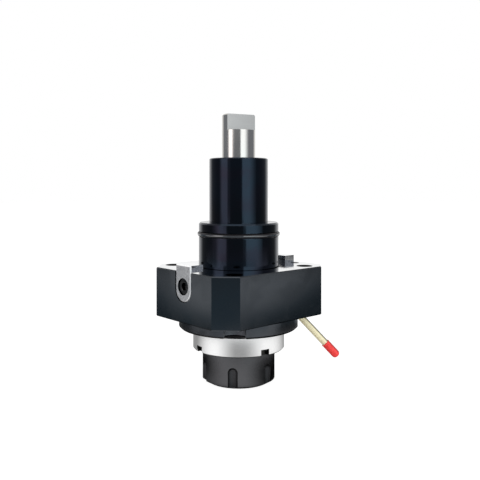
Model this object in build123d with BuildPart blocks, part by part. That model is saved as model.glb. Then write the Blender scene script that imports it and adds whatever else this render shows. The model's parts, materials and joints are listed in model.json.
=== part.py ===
from build123d import *
from math import cos, radians, sin, tan
import os

# Straight live tool holder: a housing with a Ø55 spigot, a driven spindle on roller
# bearings, a collet with its clamping nut, and a swivelling coolant tube.
# Millimetres. The origin is on the spigot axis, in the plane where the flange seats on
# the turret. +Z runs up the spigot, +X and -Y are the flange faces seen in the picture.

# Spigot, sleeve and flange
spigot_diameter = 55.0
spigot_length = 30.0
spigot_chamfer = 1.0
face_relief_width = 1.5
face_relief_depth = 0.5
sleeve_diameter = 40.5
sleeve_length = 43.7
sleeve_chamfer = 0.6
flange_width_x = 82.4
flange_width_y = 95.2
flange_thickness = 33.0
corner_cut_front = 12.4
corner_cut_left = 11.2
corner_cut_right = 8.7
corner_cut_back = 12.4
edge_break = 0.6
boss_diameter = 82.0
boss_height = 8.2
boss_chamfer = 1.2

# Clamping screw holes of the flange, 64 mm apart both ways
bolt_inset_x = 9.2
bolt_inset_y = 15.6
bolt_hole_diameter = 11.0
screw_head_room = 17.0

# Spigot ring seal
oring_section = 3.0
oring_proud = 0.95
oring_groove_width = 3.9
oring_below_shoulder = 7.9

# Locating keys in the two Y faces
key_width = 16.0
key_depth = 10.0
key_above_flange = 4.4
key_below_flange = 19.5
key_edge_break = 0.8
key_slot_gap = 0.3
key_screw_drop = 9.6
key_screw_diameter = 6.0
key_screw_head = 10.0
key_screw_head_height = 5.8
key_screw_head_room = 0.5
key_screw_seat = 6.4
key_screw_length = 12.0
key_screw_socket = 5.0
key_screw_socket_depth = 3.0
key_screw_tip_room = 0.5

# Front bearing pair, tapered rollers face to face
bearing_bore = 35.0
bearing_outer = 55.0
cone_width = 14.0
cup_width = 11.5
inner_race_radius = 19.9
outer_race_radius = 25.0
inner_race_angle = 10.0
outer_race_angle = 14.0
roller_middle = 7.6
roller_length = 8.6
roller_count = 20
roller_gap = 0.05
large_rib_radius = 22.3
large_rib_width = 2.6
small_rib_radius = 19.9
small_rib_width = 2.0
spacer_wall = 2.0
cage_wall = 0.9
cage_offset = 0.55
cage_pocket_gap = 0.12
cage_end_gap = 0.9

# Threaded cover ring that clamps the bearings
cover_thread_diameter = 58.0
cover_thread_length = 8.0
cover_diameter = 62.6
cover_gap = 1.2
cover_height = 14.3
cover_edge = 0.7
spanner_slot_count = 4
spanner_slot_width = 6.4
spanner_slot_height = 4.3
spanner_slot_depth = 3.0
spanner_slot_angle = -8.0
seal_outer_radius = 25.5
seal_height = 7.0
seal_wall = 1.4
seal_lip_height = 3.2
labyrinth_height = 2.0
labyrinth_gap = 0.3

# Spindle
spindle_angle = -13.6
nose_thread_diameter = 40.0
nose_thread_length = 11.1
collar_diameter = 42.0
locknut_thread_diameter = 33.0
locknut_height = 9.0
locknut_diameter = 45.0
locknut_slot_width = 5.0
locknut_slot_depth = 2.2
set_screw_diameter = 5.0
set_screw_length = 5.0
set_screw_socket = 2.5
set_screw_angle = 45.0
locknut_room_radius = 23.5
locknut_room_height = 5.0
rear_journal_diameter = 25.0
rear_bore_gap = 2.0
tail_diameter = 22.9
tail_length = 30.3
tail_chamfer = 0.8
tang_length = 11.0
tang_thickness = 8.0
centre_hole_diameter = 6.0
centre_hole_depth = 5.0
shank_bore_diameter = 21.0
shank_bore_length = 22.0
shank_bore_tip = 6.0
nose_chamfer = 1.0
locknut_chamfer = 1.0

# Rear needle bearing and seal
needle_diameter = 2.5
needle_length = 14.6
needle_count = 20
needle_cup_wall = 0.9
needle_cup_length = 20.0
needle_cup_lip = 1.7
needle_cage_wall = 0.9
needle_cage_rim = 1.1
rear_seal_height = 4.6
rear_seal_depth = 1.0
rear_bearing_gap = 0.8

# Collet
collet_length = 40.0
collet_taper = 8.0
collet_large_radius = 16.5
collet_face_radius = 13.6
collet_nose_angle = 30.0
collet_nose_radius = 15.9
collet_nose_length = 5.0
collet_groove_radius = 14.2
collet_groove_width = 3.0
collet_edge = 0.5
collet_bore_diameter = 16.0
collet_bore_chamfer = 0.6
collet_slot_count = 8
collet_slot_width = 0.8
collet_rear_web = 4.0
collet_front_web = 11.0
collet_socket_room = 1.0
collet_recess = 1.0

# Collet nut and its extracting ring
nut_diameter = 49.5
nut_length = 22.4
nut_cover_gap = 0.4
nut_rim_radius = 21.0
nut_rim_height = 2.1
nut_top_chamfer = 0.8
nut_mouth_radius = 15.2
nut_lip = 2.1
nut_mouth_chamfer = 0.8
nut_ring_radius = 18.5
nut_thread_relief = 0.5
nut_groove_count = 6
nut_cutter_radius = 3.4
nut_groove_height = 14.6
nut_groove_depth = 2.8
nut_groove_angle = -50.6
extractor_height = 6.5
extractor_lip = 2.1
extractor_lip_radius = 15.0
extractor_eccentricity = 0.4
extractor_wall_gap = 0.05
snap_wire = 1.0
snap_depth = 0.7
snap_gap_angle = 24.0

# Coolant nozzle under the flange
nozzle_x = 16.0
nozzle_y = 39.4
nozzle_drop = 1.1
nozzle_ball_diameter = 11.0
nozzle_thread_diameter = 14.0
nozzle_thread_length = 9.0
nozzle_collar_diameter = 14.6
nozzle_collar_flats = 13.0
nozzle_mouth_drop = 1.8
nozzle_pocket_radius = 7.8
coolant_bore_diameter = 6.0
nozzle_seat_bore = 5.6
nozzle_seat_overlap = 2.9
tube_diameter = 4.9
tube_wall = 0.7
tube_length = 41.5
tube_heading = 48.4
tube_fall = 46.7
cap_diameter = 6.1
cap_length = 12.9
cap_engagement = 10.0
cap_rounding = 2.4

# Fits
seat_gap = 0.02
running_gap = 0.05
thread_gap = 0.08
taper_gap = 0.03
face_gap = 0.1

# Heights worked out from the sizes above
shoulder_z = spigot_length
sleeve_top_z = shoulder_z + sleeve_length
tail_top_z = sleeve_top_z + tail_length
flange_bottom_z = -flange_thickness
boss_bottom_z = flange_bottom_z - boss_height
cover_bottom_z = boss_bottom_z - cover_height
bearing_bottom_z = boss_bottom_z + cover_thread_length
bearing_middle_z = bearing_bottom_z + cone_width
bearing_top_z = bearing_bottom_z + 2 * cone_width
locknut_room_z = bearing_top_z + locknut_height + locknut_room_height
nut_top_z = cover_bottom_z - nut_cover_gap
nut_bottom_z = nut_top_z - nut_length
collet_face_z = nut_bottom_z + collet_recess
nose_z = cover_bottom_z + face_gap - nose_thread_length - nut_cover_gap
collar_bottom_z = cover_bottom_z + face_gap
rear_seal_bottom_z = sleeve_top_z - rear_seal_depth - rear_seal_height
needle_cup_top_z = rear_seal_bottom_z - rear_bearing_gap
needle_cup_bottom_z = needle_cup_top_z - needle_cup_length

# Radii and spacings worked out from the sizes above
bolt_spacing_x = flange_width_x - 2 * bolt_inset_x
bolt_spacing_y = flange_width_y - 2 * bolt_inset_y
spigot_radius = spigot_diameter / 2
sleeve_radius = sleeve_diameter / 2
boss_radius = boss_diameter / 2
bearing_radius = bearing_outer / 2
rear_journal_radius = rear_journal_diameter / 2
tail_radius = tail_diameter / 2
collar_radius = collar_diameter / 2
nose_radius = nose_thread_diameter / 2
cover_radius = cover_diameter / 2
cover_thread_radius = cover_thread_diameter / 2
nut_radius = nut_diameter / 2
needle_cup_inner = rear_journal_radius + needle_diameter + 2 * roller_gap
needle_cup_radius = needle_cup_inner + needle_cup_wall
needle_pitch_radius = (rear_journal_radius + needle_cup_inner) / 2


def inner_race(height):
    """Radius of the inner raceway at a height above the wide end of the inner ring."""
    return inner_race_radius + (roller_middle - height) * tan(radians(inner_race_angle))


def outer_race(height):
    """Radius of the outer raceway at a height above the wide end of the inner ring."""
    return outer_race_radius + (roller_middle - height) * tan(radians(outer_race_angle))


def socket_radius(z):
    """Radius of the collet socket's cone at a height z."""
    large_end_z = collet_face_z + collet_nose_length + collet_groove_width + collet_edge
    return collet_large_radius + taper_gap - (z - large_end_z) * tan(radians(collet_taper))


def turned_profile(*corners):
    """A closed outline in the XZ plane, given as radius and height, to be turned about Z."""
    with BuildSketch(Plane.XZ) as profile:
        with BuildLine():
            Polyline(*corners, close=True)
        make_face()
    return profile.sketch


def ring_profile(inner, outer, bottom, top):
    """The outline of a plain ring."""
    return turned_profile((inner, bottom), (outer, bottom), (outer, top), (inner, top))


def side_face(side):
    """The plane of the flange's face at -Y or +Y, its own Y pointing up."""
    return Plane(origin=(0, side * flange_width_y / 2, 0), x_dir=(-side, 0, 0), z_dir=(0, side, 0))


def save(piece, label):
    """Name a finished piece and write it to its own file."""
    piece.part.label = label
    export_step(piece.part, f"parts/{label}.step")


os.makedirs("parts", exist_ok=True)

# Housing: flange, boss, spigot and sleeve in one steel body
oring_z = shoulder_z - oring_below_shoulder
oring_groove_radius = spigot_radius + oring_proud - oring_section - seat_gap
key_slot_radius = key_width / 2 + key_slot_gap
flange_half_x = flange_width_x / 2
flange_half_y = flange_width_y / 2

with BuildPart() as housing:
    with BuildSketch(Plane.XY.offset(flange_bottom_z)):
        with BuildLine():
            Polyline(
                (flange_half_x, -flange_half_y + corner_cut_front),
                (flange_half_x, flange_half_y - corner_cut_right),
                (flange_half_x - corner_cut_right, flange_half_y),
                (-flange_half_x + corner_cut_back, flange_half_y),
                (-flange_half_x, flange_half_y - corner_cut_back),
                (-flange_half_x, -flange_half_y + corner_cut_left),
                (-flange_half_x + corner_cut_left, -flange_half_y),
                (flange_half_x - corner_cut_front, -flange_half_y),
                close=True,
            )
        make_face()
    extrude(amount=flange_thickness)
    chamfer(housing.faces().sort_by(Axis.Z)[0].edges(), edge_break)
    chamfer(housing.faces().sort_by(Axis.Z)[-1].edges(), edge_break)
    with BuildSketch(Plane.XZ):
        with BuildLine():
            Polyline(
                (0, boss_bottom_z),
                (boss_radius - boss_chamfer, boss_bottom_z),
                (boss_radius, boss_bottom_z + boss_chamfer),
                (boss_radius, flange_bottom_z),
                (spigot_radius, flange_bottom_z),
                (spigot_radius, shoulder_z - spigot_chamfer),
                (spigot_radius - spigot_chamfer, shoulder_z),
                (sleeve_radius, shoulder_z),
                (sleeve_radius, sleeve_top_z - sleeve_chamfer),
                (sleeve_radius - sleeve_chamfer, sleeve_top_z),
                (0, sleeve_top_z),
                close=True,
            )
        make_face()
    revolve(axis=Axis.Z)
    oring_groove = ring_profile(oring_groove_radius, boss_radius,
                                oring_z - oring_groove_width / 2, oring_z + oring_groove_width / 2)
    face_relief = ring_profile(spigot_radius, spigot_radius + face_relief_width,
                               -face_relief_depth, 0)
    revolve([oring_groove, face_relief], axis=Axis.Z, mode=Mode.SUBTRACT)
    with BuildSketch(Plane.XZ):
        with BuildLine():
            Polyline(
                (0, boss_bottom_z),
                (cover_thread_radius + edge_break, boss_bottom_z),
                (cover_thread_radius, boss_bottom_z + edge_break),
                (cover_thread_radius, bearing_bottom_z),
                (bearing_radius, bearing_bottom_z),
                (bearing_radius, bearing_top_z),
                (locknut_room_radius, bearing_top_z),
                (locknut_room_radius, locknut_room_z),
                (rear_journal_radius + rear_bore_gap, locknut_room_z),
                (rear_journal_radius + rear_bore_gap, needle_cup_bottom_z),
                (needle_cup_radius, needle_cup_bottom_z),
                (needle_cup_radius, sleeve_top_z - edge_break),
                (needle_cup_radius + edge_break, sleeve_top_z),
                (0, sleeve_top_z),
                close=True,
            )
        make_face()
    revolve(axis=Axis.Z, mode=Mode.SUBTRACT)
    with BuildSketch(Plane.XY):
        with GridLocations(bolt_spacing_x, bolt_spacing_y, 2, 2):
            Circle(bolt_hole_diameter / 2)
    extrude(amount=flange_bottom_z, mode=Mode.SUBTRACT)
    with BuildSketch(Plane.XY.offset(flange_bottom_z)):
        with GridLocations(bolt_spacing_x, bolt_spacing_y, 2, 2):
            Circle(screw_head_room / 2)
        with Locations((nozzle_x, nozzle_y)):
            Circle(nozzle_pocket_radius)
    extrude(amount=-boss_height, mode=Mode.SUBTRACT)
    with Locations(Plane.XY.offset(boss_bottom_z)):
        with GridLocations(bolt_spacing_x, bolt_spacing_y, 2, 2):
            Cone(screw_head_room / 2 + boss_chamfer, screw_head_room / 2, boss_chamfer,
                 align=(Align.CENTER, Align.CENTER, Align.MIN), mode=Mode.SUBTRACT)
    with Locations(Plane.XY.offset(flange_bottom_z)):
        with Locations((nozzle_x, nozzle_y)):
            Cylinder(nozzle_thread_diameter / 2, nozzle_thread_length, mode=Mode.SUBTRACT,
                     align=(Align.CENTER, Align.CENTER, Align.MIN))
            Cylinder(coolant_bore_diameter / 2, flange_thickness, mode=Mode.SUBTRACT,
                     align=(Align.CENTER, Align.CENTER, Align.MIN))
    for side in (-1, 1):
        slot_bottom = -key_below_flange - key_slot_gap
        slot_rise = -slot_bottom - key_slot_radius
        with BuildSketch(side_face(side)):
            with Locations((0, -slot_rise)):
                Circle(key_slot_radius)
            with Locations((0, -slot_rise / 2)):
                Rectangle(2 * key_slot_radius, slot_rise)
        extrude(amount=-key_depth - face_gap, mode=Mode.SUBTRACT)
        with BuildSketch(side_face(side)):
            with Locations((0, -key_screw_drop)):
                Circle(key_screw_diameter / 2 + thread_gap)
        extrude(amount=-key_screw_seat - key_screw_length - key_screw_tip_room, mode=Mode.SUBTRACT)
save(housing, "housing")

# Ring seal in the groove of the spigot
with BuildPart(Plane.XY.offset(oring_z)) as spigot_oring:
    Torus(spigot_radius + oring_proud - oring_section / 2, oring_section / 2)
save(spigot_oring, "spigot_oring")

# Locating keys, each let into a face of the flange and held by one cap screw
for side, side_name in ((-1, "left"), (1, "right")):
    key_rise = key_below_flange - key_width / 2
    with BuildPart() as locating_key:
        with BuildSketch(side_face(side)):
            with Locations((0, -key_rise)):
                Circle(key_width / 2)
            with Locations((0, (key_above_flange - key_rise) / 2)):
                Rectangle(key_width, key_above_flange + key_rise)
        extrude(amount=-key_depth)
        outer_face = locating_key.faces().filter_by(Axis.Y).sort_by(Axis.Y, reverse=side > 0)[0]
        chamfer(outer_face.edges(), key_edge_break)
        with Locations(side_face(side)):
            with Locations((0, -key_screw_drop)):
                CounterBoreHole(key_screw_diameter / 2 + thread_gap,
                                key_screw_head / 2 + key_screw_head_room, key_screw_seat)
    save(locating_key, f"locating_key_{side_name}")

with BuildPart() as key_screws:
    for side in (-1, 1):
        screw_seat = side_face(side).offset(-key_screw_seat)
        with BuildSketch(screw_seat):
            with Locations((0, -key_screw_drop)):
                Circle(key_screw_head / 2)
        extrude(amount=key_screw_head_height)
        with BuildSketch(screw_seat):
            with Locations((0, -key_screw_drop)):
                Circle(key_screw_diameter / 2)
        extrude(amount=-key_screw_length)
        with BuildSketch(screw_seat.offset(key_screw_head_height)):
            with Locations((0, -key_screw_drop)):
                RegularPolygon(key_screw_socket / 2, 6, major_radius=False)
        extrude(amount=-key_screw_socket_depth, mode=Mode.SUBTRACT)
save(key_screws, "key_screws")

# Front bearings: two tapered roller bearings, wide ends of the inner rings together
roller_angle = (inner_race_angle + outer_race_angle) / 2
roller_centre = (inner_race_radius + outer_race_radius) / 2
roller_radius = (outer_race_radius - inner_race_radius) / 2 * cos(radians(roller_angle)) - roller_gap
roller_taper = roller_length / 2 * tan(radians((outer_race_angle - inner_race_angle) / 2))
cup_start = cone_width - cup_width
small_rib_start = cone_width - small_rib_width
cage_start = cage_end_gap
cage_end = cone_width - cage_end_gap


def bearing_profile(direction, *corners):
    """A bearing ring's outline, given as radius and height above its wide end."""
    return turned_profile(*((radius, bearing_middle_z + direction * t) for radius, t in corners))


def cage_radius(height):
    """Inner radius of the roller cage at a height above the wide end of the inner ring."""
    return roller_centre + cage_offset + (roller_middle - height) * tan(radians(roller_angle))


for direction, place in ((-1, "lower"), (1, "upper")):
    with BuildPart() as cup:
        revolve(bearing_profile(
            direction,
            (outer_race(cup_start), cup_start),
            (bearing_radius - seat_gap, cup_start),
            (bearing_radius - seat_gap, cone_width),
            (outer_race(cone_width), cone_width),
        ), axis=Axis.Z)
    save(cup, f"{place}_bearing_outer_ring")

    with BuildPart() as cone:
        revolve(bearing_profile(
            direction,
            (bearing_bore / 2, 0),
            (large_rib_radius, 0),
            (large_rib_radius, large_rib_width),
            (inner_race(large_rib_width), large_rib_width),
            (inner_race(small_rib_start), small_rib_start),
            (small_rib_radius, small_rib_start),
            (small_rib_radius, cone_width),
            (bearing_bore / 2, cone_width),
        ), axis=Axis.Z)
    save(cone, f"{place}_bearing_inner_ring")

    roller_plane = Plane(
        origin=(roller_centre, 0, bearing_middle_z + direction * roller_middle),
        z_dir=(sin(radians(roller_angle)), 0, -direction * cos(radians(roller_angle))),
    )
    with BuildPart(roller_plane) as roller:
        Cone(roller_radius - roller_taper, roller_radius + roller_taper, roller_length)
    with BuildPart(roller_plane) as cage_pocket:
        Cone(roller_radius - roller_taper + cage_pocket_gap,
             roller_radius + roller_taper + cage_pocket_gap,
             roller_length + 2 * cage_pocket_gap)
    with BuildPart() as rollers:
        with PolarLocations(0, roller_count):
            add(roller.part)
    save(rollers, f"{place}_bearing_rollers")

    with BuildPart() as cage:
        revolve(bearing_profile(
            direction,
            (cage_radius(cage_start), cage_start),
            (cage_radius(cage_start) + cage_wall, cage_start),
            (cage_radius(cage_end) + cage_wall, cage_end),
            (cage_radius(cage_end), cage_end),
        ), axis=Axis.Z)
        with PolarLocations(0, roller_count):
            add(cage_pocket.part, mode=Mode.SUBTRACT)
    save(cage, f"{place}_bearing_cage")

with BuildPart() as bearing_spacer:
    revolve(ring_profile(bearing_radius - spacer_wall, bearing_radius - seat_gap,
                         bearing_middle_z - cup_start, bearing_middle_z + cup_start), axis=Axis.Z)
save(bearing_spacer, "bearing_spacer")

# Cover ring, screwed into the boss against the lower outer ring
cover_head_z = boss_bottom_z - cover_gap
cover_seal_z = cover_bottom_z + labyrinth_height
with BuildPart() as bearing_cover_ring:
    revolve(turned_profile(
        (cover_thread_radius - thread_gap, bearing_bottom_z),
        (cover_thread_radius - thread_gap, cover_head_z),
        (cover_radius - cover_edge, cover_head_z),
        (cover_radius, cover_head_z - cover_edge),
        (cover_radius, cover_bottom_z + cover_edge),
        (cover_radius - cover_edge, cover_bottom_z),
        (collar_radius + labyrinth_gap, cover_bottom_z),
        (collar_radius + labyrinth_gap, cover_seal_z),
        (seal_outer_radius, cover_seal_z),
        (seal_outer_radius, bearing_bottom_z),
    ), axis=Axis.Z)
    with Locations(Plane.XY.offset(cover_bottom_z)):
        with PolarLocations(cover_radius, spanner_slot_count, start_angle=spanner_slot_angle):
            Box(2 * spanner_slot_depth, spanner_slot_width, spanner_slot_height,
                align=(Align.CENTER, Align.CENTER, Align.MIN), mode=Mode.SUBTRACT)
save(bearing_cover_ring, "bearing_cover_ring")

seal_radius = seal_outer_radius - seat_gap
seal_lip_radius = collar_radius + running_gap
with BuildPart() as front_shaft_seal:
    revolve(turned_profile(
        (seal_radius, cover_seal_z),
        (seal_radius, cover_seal_z + seal_height),
        (seal_radius - seal_wall, cover_seal_z + seal_height),
        (seal_radius - seal_wall, cover_seal_z + seal_wall),
        (seal_lip_radius + seal_wall, cover_seal_z + seal_wall),
        (seal_lip_radius + seal_wall, cover_seal_z + seal_lip_height + seal_wall),
        (seal_lip_radius, cover_seal_z + seal_lip_height),
        (seal_lip_radius + seal_wall / 2, cover_seal_z),
    ), axis=Axis.Z)
save(front_shaft_seal, "front_shaft_seal")

# Spindle: collet nose, bearing seats, rear journal and driving tang in one piece
locknut_top_z = bearing_top_z + locknut_height
locknut_thread_radius = locknut_thread_diameter / 2
socket_top_z = collet_face_z + collet_length + collet_socket_room
shank_bore_radius = shank_bore_diameter / 2
tang_side = tail_radius - tang_thickness / 2
with BuildPart() as spindle:
    revolve(turned_profile(
        (0, nose_z),
        (nose_radius - nose_chamfer, nose_z),
        (nose_radius, nose_z + nose_chamfer),
        (nose_radius, collar_bottom_z),
        (collar_radius, collar_bottom_z),
        (collar_radius, bearing_bottom_z),
        (bearing_bore / 2 - seat_gap, bearing_bottom_z),
        (bearing_bore / 2 - seat_gap, bearing_top_z),
        (locknut_thread_radius, bearing_top_z),
        (locknut_thread_radius, locknut_top_z + nose_chamfer),
        (rear_journal_radius, locknut_room_z),
        (rear_journal_radius, needle_cup_top_z),
        (tail_radius, needle_cup_top_z),
        (tail_radius, tail_top_z - tail_chamfer),
        (tail_radius - tail_chamfer, tail_top_z),
        (centre_hole_diameter / 2, tail_top_z),
        (0, tail_top_z - centre_hole_depth),
    ), axis=Axis.Z)
    revolve(turned_profile(
        (0, nose_z),
        (socket_radius(nose_z), nose_z),
        (socket_radius(socket_top_z), socket_top_z),
        (shank_bore_radius, socket_top_z),
        (shank_bore_radius, socket_top_z + shank_bore_length),
        (0, socket_top_z + shank_bore_length + shank_bore_tip),
    ), axis=Axis.Z, mode=Mode.SUBTRACT)
    with BuildSketch(Plane.XY.offset(tail_top_z).rotated((0, 0, spindle_angle))):
        with Locations((-tail_radius, 0), (tail_radius, 0)):
            Rectangle(2 * tang_side, tail_diameter)
    extrude(amount=-tang_length, mode=Mode.SUBTRACT)
save(spindle, "spindle")

# Nut and set screw that hold the inner rings against the spindle's collar
locknut_middle_z = bearing_top_z + locknut_height / 2
set_screw_plane = Plane(
    origin=(0, 0, locknut_middle_z),
    x_dir=(0, 0, 1),
    z_dir=(cos(radians(set_screw_angle)), sin(radians(set_screw_angle)), 0),
)
with BuildPart() as bearing_locknut:
    revolve(ring_profile(locknut_thread_radius + seat_gap, locknut_diameter / 2,
                         bearing_top_z, locknut_top_z), axis=Axis.Z)
    chamfer(bearing_locknut.faces().sort_by(Axis.Z)[-1].edges().sort_by(SortBy.LENGTH)[-1],
            locknut_chamfer)
    with Locations(Plane.XY.offset(locknut_middle_z)):
        with PolarLocations(locknut_diameter / 2, 4):
            Box(2 * locknut_slot_depth, locknut_slot_width, locknut_height, mode=Mode.SUBTRACT)
    with BuildSketch(set_screw_plane):
        Circle(set_screw_diameter / 2)
    extrude(amount=locknut_diameter, mode=Mode.SUBTRACT)
save(bearing_locknut, "bearing_locknut")

with BuildPart() as locknut_set_screw:
    with BuildSketch(set_screw_plane.offset(locknut_thread_radius + running_gap)):
        Circle(set_screw_diameter / 2 - seat_gap)
    extrude(amount=set_screw_length)
    with BuildSketch(set_screw_plane.offset(locknut_thread_radius + running_gap + set_screw_length)):
        RegularPolygon(set_screw_socket / 2, 6, major_radius=False)
    extrude(amount=-set_screw_length / 2, mode=Mode.SUBTRACT)
save(locknut_set_screw, "locknut_set_screw")

# Rear needle bearing in the sleeve
needle_middle_z = (needle_cup_bottom_z + needle_cup_top_z) / 2
needle_lip_radius = needle_cup_inner - needle_cup_lip
needle_cup_seat = needle_cup_radius - seat_gap
with BuildPart() as needle_cup:
    revolve(turned_profile(
        (needle_lip_radius, needle_cup_bottom_z),
        (needle_cup_seat, needle_cup_bottom_z),
        (needle_cup_seat, needle_cup_top_z),
        (needle_lip_radius, needle_cup_top_z),
        (needle_lip_radius, needle_cup_top_z - needle_cup_wall),
        (needle_cup_inner, needle_cup_top_z - needle_cup_wall),
        (needle_cup_inner, needle_cup_bottom_z + needle_cup_wall),
        (needle_lip_radius, needle_cup_bottom_z + needle_cup_wall),
    ), axis=Axis.Z)
save(needle_cup, "needle_bearing_cup")

with BuildPart() as needles:
    with Locations(Plane.XY.offset(needle_middle_z)):
        with PolarLocations(needle_pitch_radius, needle_count):
            Cylinder(needle_diameter / 2, needle_length)
save(needles, "needle_bearing_rollers")

needle_cage_radius = needle_pitch_radius + needle_cage_wall / 2
needle_cage_half = needle_length / 2 + needle_cage_rim
with BuildPart() as needle_cage:
    revolve(ring_profile(needle_cage_radius - needle_cage_wall, needle_cage_radius,
                         needle_middle_z - needle_cage_half, needle_middle_z + needle_cage_half),
            axis=Axis.Z)
    with Locations(Plane.XY.offset(needle_middle_z)):
        with PolarLocations(needle_pitch_radius, needle_count):
            Cylinder(needle_diameter / 2 + cage_pocket_gap, needle_length + 2 * cage_pocket_gap,
                     mode=Mode.SUBTRACT)
save(needle_cage, "needle_bearing_cage")

rear_lip_radius = tail_radius + running_gap
rear_seal_top_z = rear_seal_bottom_z + rear_seal_height
with BuildPart() as rear_shaft_seal:
    revolve(turned_profile(
        (needle_cup_seat, rear_seal_bottom_z),
        (needle_cup_seat, rear_seal_top_z),
        (rear_lip_radius + seal_wall / 2, rear_seal_top_z),
        (rear_lip_radius, rear_seal_bottom_z + rear_seal_height / 2),
        (rear_lip_radius + seal_wall, rear_seal_bottom_z),
        (rear_lip_radius + seal_wall, rear_seal_top_z - seal_wall),
        (needle_cup_seat - seal_wall, rear_seal_top_z - seal_wall),
        (needle_cup_seat - seal_wall, rear_seal_bottom_z),
    ), axis=Axis.Z)
save(rear_shaft_seal, "rear_shaft_seal")

# Collet: 8 degree taper, extraction groove, slots cut in turn from both ends
collet_top_z = collet_face_z + collet_length
nose_rise = (collet_nose_radius - collet_face_radius) / tan(radians(collet_nose_angle))
groove_bottom_z = collet_face_z + collet_nose_length
groove_top_z = groove_bottom_z + collet_groove_width
taper_start_z = groove_top_z + collet_edge
collet_small_radius = collet_large_radius - (collet_top_z - taper_start_z) * tan(radians(collet_taper))
collet_bore_radius = collet_bore_diameter / 2
with BuildPart() as collet_slot:
    Box(collet_large_radius, collet_slot_width, collet_length,
        align=(Align.MIN, Align.CENTER, Align.MIN))
with BuildPart() as collet:
    revolve(turned_profile(
        (collet_bore_radius + collet_bore_chamfer, collet_face_z),
        (collet_face_radius, collet_face_z),
        (collet_nose_radius, collet_face_z + nose_rise),
        (collet_nose_radius, groove_bottom_z),
        (collet_groove_radius, groove_bottom_z),
        (collet_groove_radius, groove_top_z),
        (collet_large_radius - collet_edge, groove_top_z),
        (collet_large_radius, taper_start_z),
        (collet_small_radius, collet_top_z),
        (collet_bore_radius, collet_top_z),
        (collet_bore_radius, collet_face_z + collet_bore_chamfer),
    ), axis=Axis.Z)
    with Locations(Plane.XY.offset(collet_face_z - collet_rear_web)):
        with PolarLocations(0, collet_slot_count):
            add(collet_slot.part, mode=Mode.SUBTRACT)
    with Locations(Plane.XY.offset(collet_face_z + collet_front_web)):
        with PolarLocations(0, collet_slot_count, start_angle=180 / collet_slot_count):
            add(collet_slot.part, mode=Mode.SUBTRACT)
save(collet, "collet")

# Collet nut, with the ring that closes and extracts the collet
nut_step_z = nose_z - nut_thread_relief
lip_z = nut_bottom_z + nut_lip
extractor_top_z = lip_z + extractor_height
snap_bottom_z = extractor_top_z + face_gap
snap_top_z = snap_bottom_z + snap_wire + face_gap
nut_thread_radius = nose_radius + thread_gap
nut_cutter_x = nut_radius - nut_groove_depth + nut_cutter_radius
with BuildPart() as nut_groove:
    with Locations((nut_cutter_x, 0, nut_bottom_z)):
        Cylinder(nut_cutter_radius, nut_groove_height - nut_cutter_radius,
                 align=(Align.CENTER, Align.CENTER, Align.MIN))
    with Locations((nut_cutter_x, 0, nut_bottom_z + nut_groove_height - nut_cutter_radius)):
        Sphere(nut_cutter_radius)
with BuildPart() as collet_nut:
    revolve(turned_profile(
        (nut_mouth_radius + nut_mouth_chamfer, nut_bottom_z),
        (nut_rim_radius, nut_bottom_z),
        (nut_radius, nut_bottom_z + nut_rim_height),
        (nut_radius, nut_top_z - nut_top_chamfer),
        (nut_radius - nut_top_chamfer, nut_top_z),
        (nut_thread_radius, nut_top_z),
        (nut_thread_radius, nut_step_z),
        (nut_ring_radius, nut_step_z),
        (nut_ring_radius, snap_top_z),
        (nut_ring_radius + snap_depth, snap_top_z),
        (nut_ring_radius + snap_depth, snap_bottom_z),
        (nut_ring_radius, snap_bottom_z),
        (nut_ring_radius, lip_z),
        (nut_mouth_radius, lip_z),
        (nut_mouth_radius, nut_bottom_z + nut_mouth_chamfer),
    ), axis=Axis.Z)
    with PolarLocations(0, nut_groove_count, start_angle=nut_groove_angle):
        add(nut_groove.part, mode=Mode.SUBTRACT)
save(collet_nut, "collet_nut")

ring_wall_radius = nut_ring_radius - extractor_wall_gap
ring_cone_radius = collet_face_radius + (lip_z - collet_face_z) * tan(radians(collet_nose_angle))
ring_cone_top_z = collet_face_z + nose_rise
with BuildPart() as extractor_ring:
    revolve(turned_profile(
        (ring_cone_radius + running_gap, lip_z),
        (ring_wall_radius, lip_z),
        (ring_wall_radius, extractor_top_z),
        (collet_groove_radius, extractor_top_z),
        (collet_groove_radius, extractor_top_z - extractor_lip),
        (collet_nose_radius + running_gap, extractor_top_z - extractor_lip),
        (collet_nose_radius + running_gap, ring_cone_top_z),
    ), axis=Axis.Z)
    with Locations((extractor_eccentricity, 0, extractor_top_z)):
        Cylinder(extractor_lip_radius, 2 * extractor_lip, mode=Mode.SUBTRACT)
save(extractor_ring, "extractor_ring")

with BuildPart() as extractor_snap_ring:
    revolve(ring_profile(nut_ring_radius - snap_depth, nut_ring_radius + snap_depth - running_gap,
                         snap_bottom_z, snap_bottom_z + snap_wire),
            axis=Axis.Z, revolution_arc=360 - snap_gap_angle)
save(extractor_snap_ring, "extractor_snap_ring")

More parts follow.
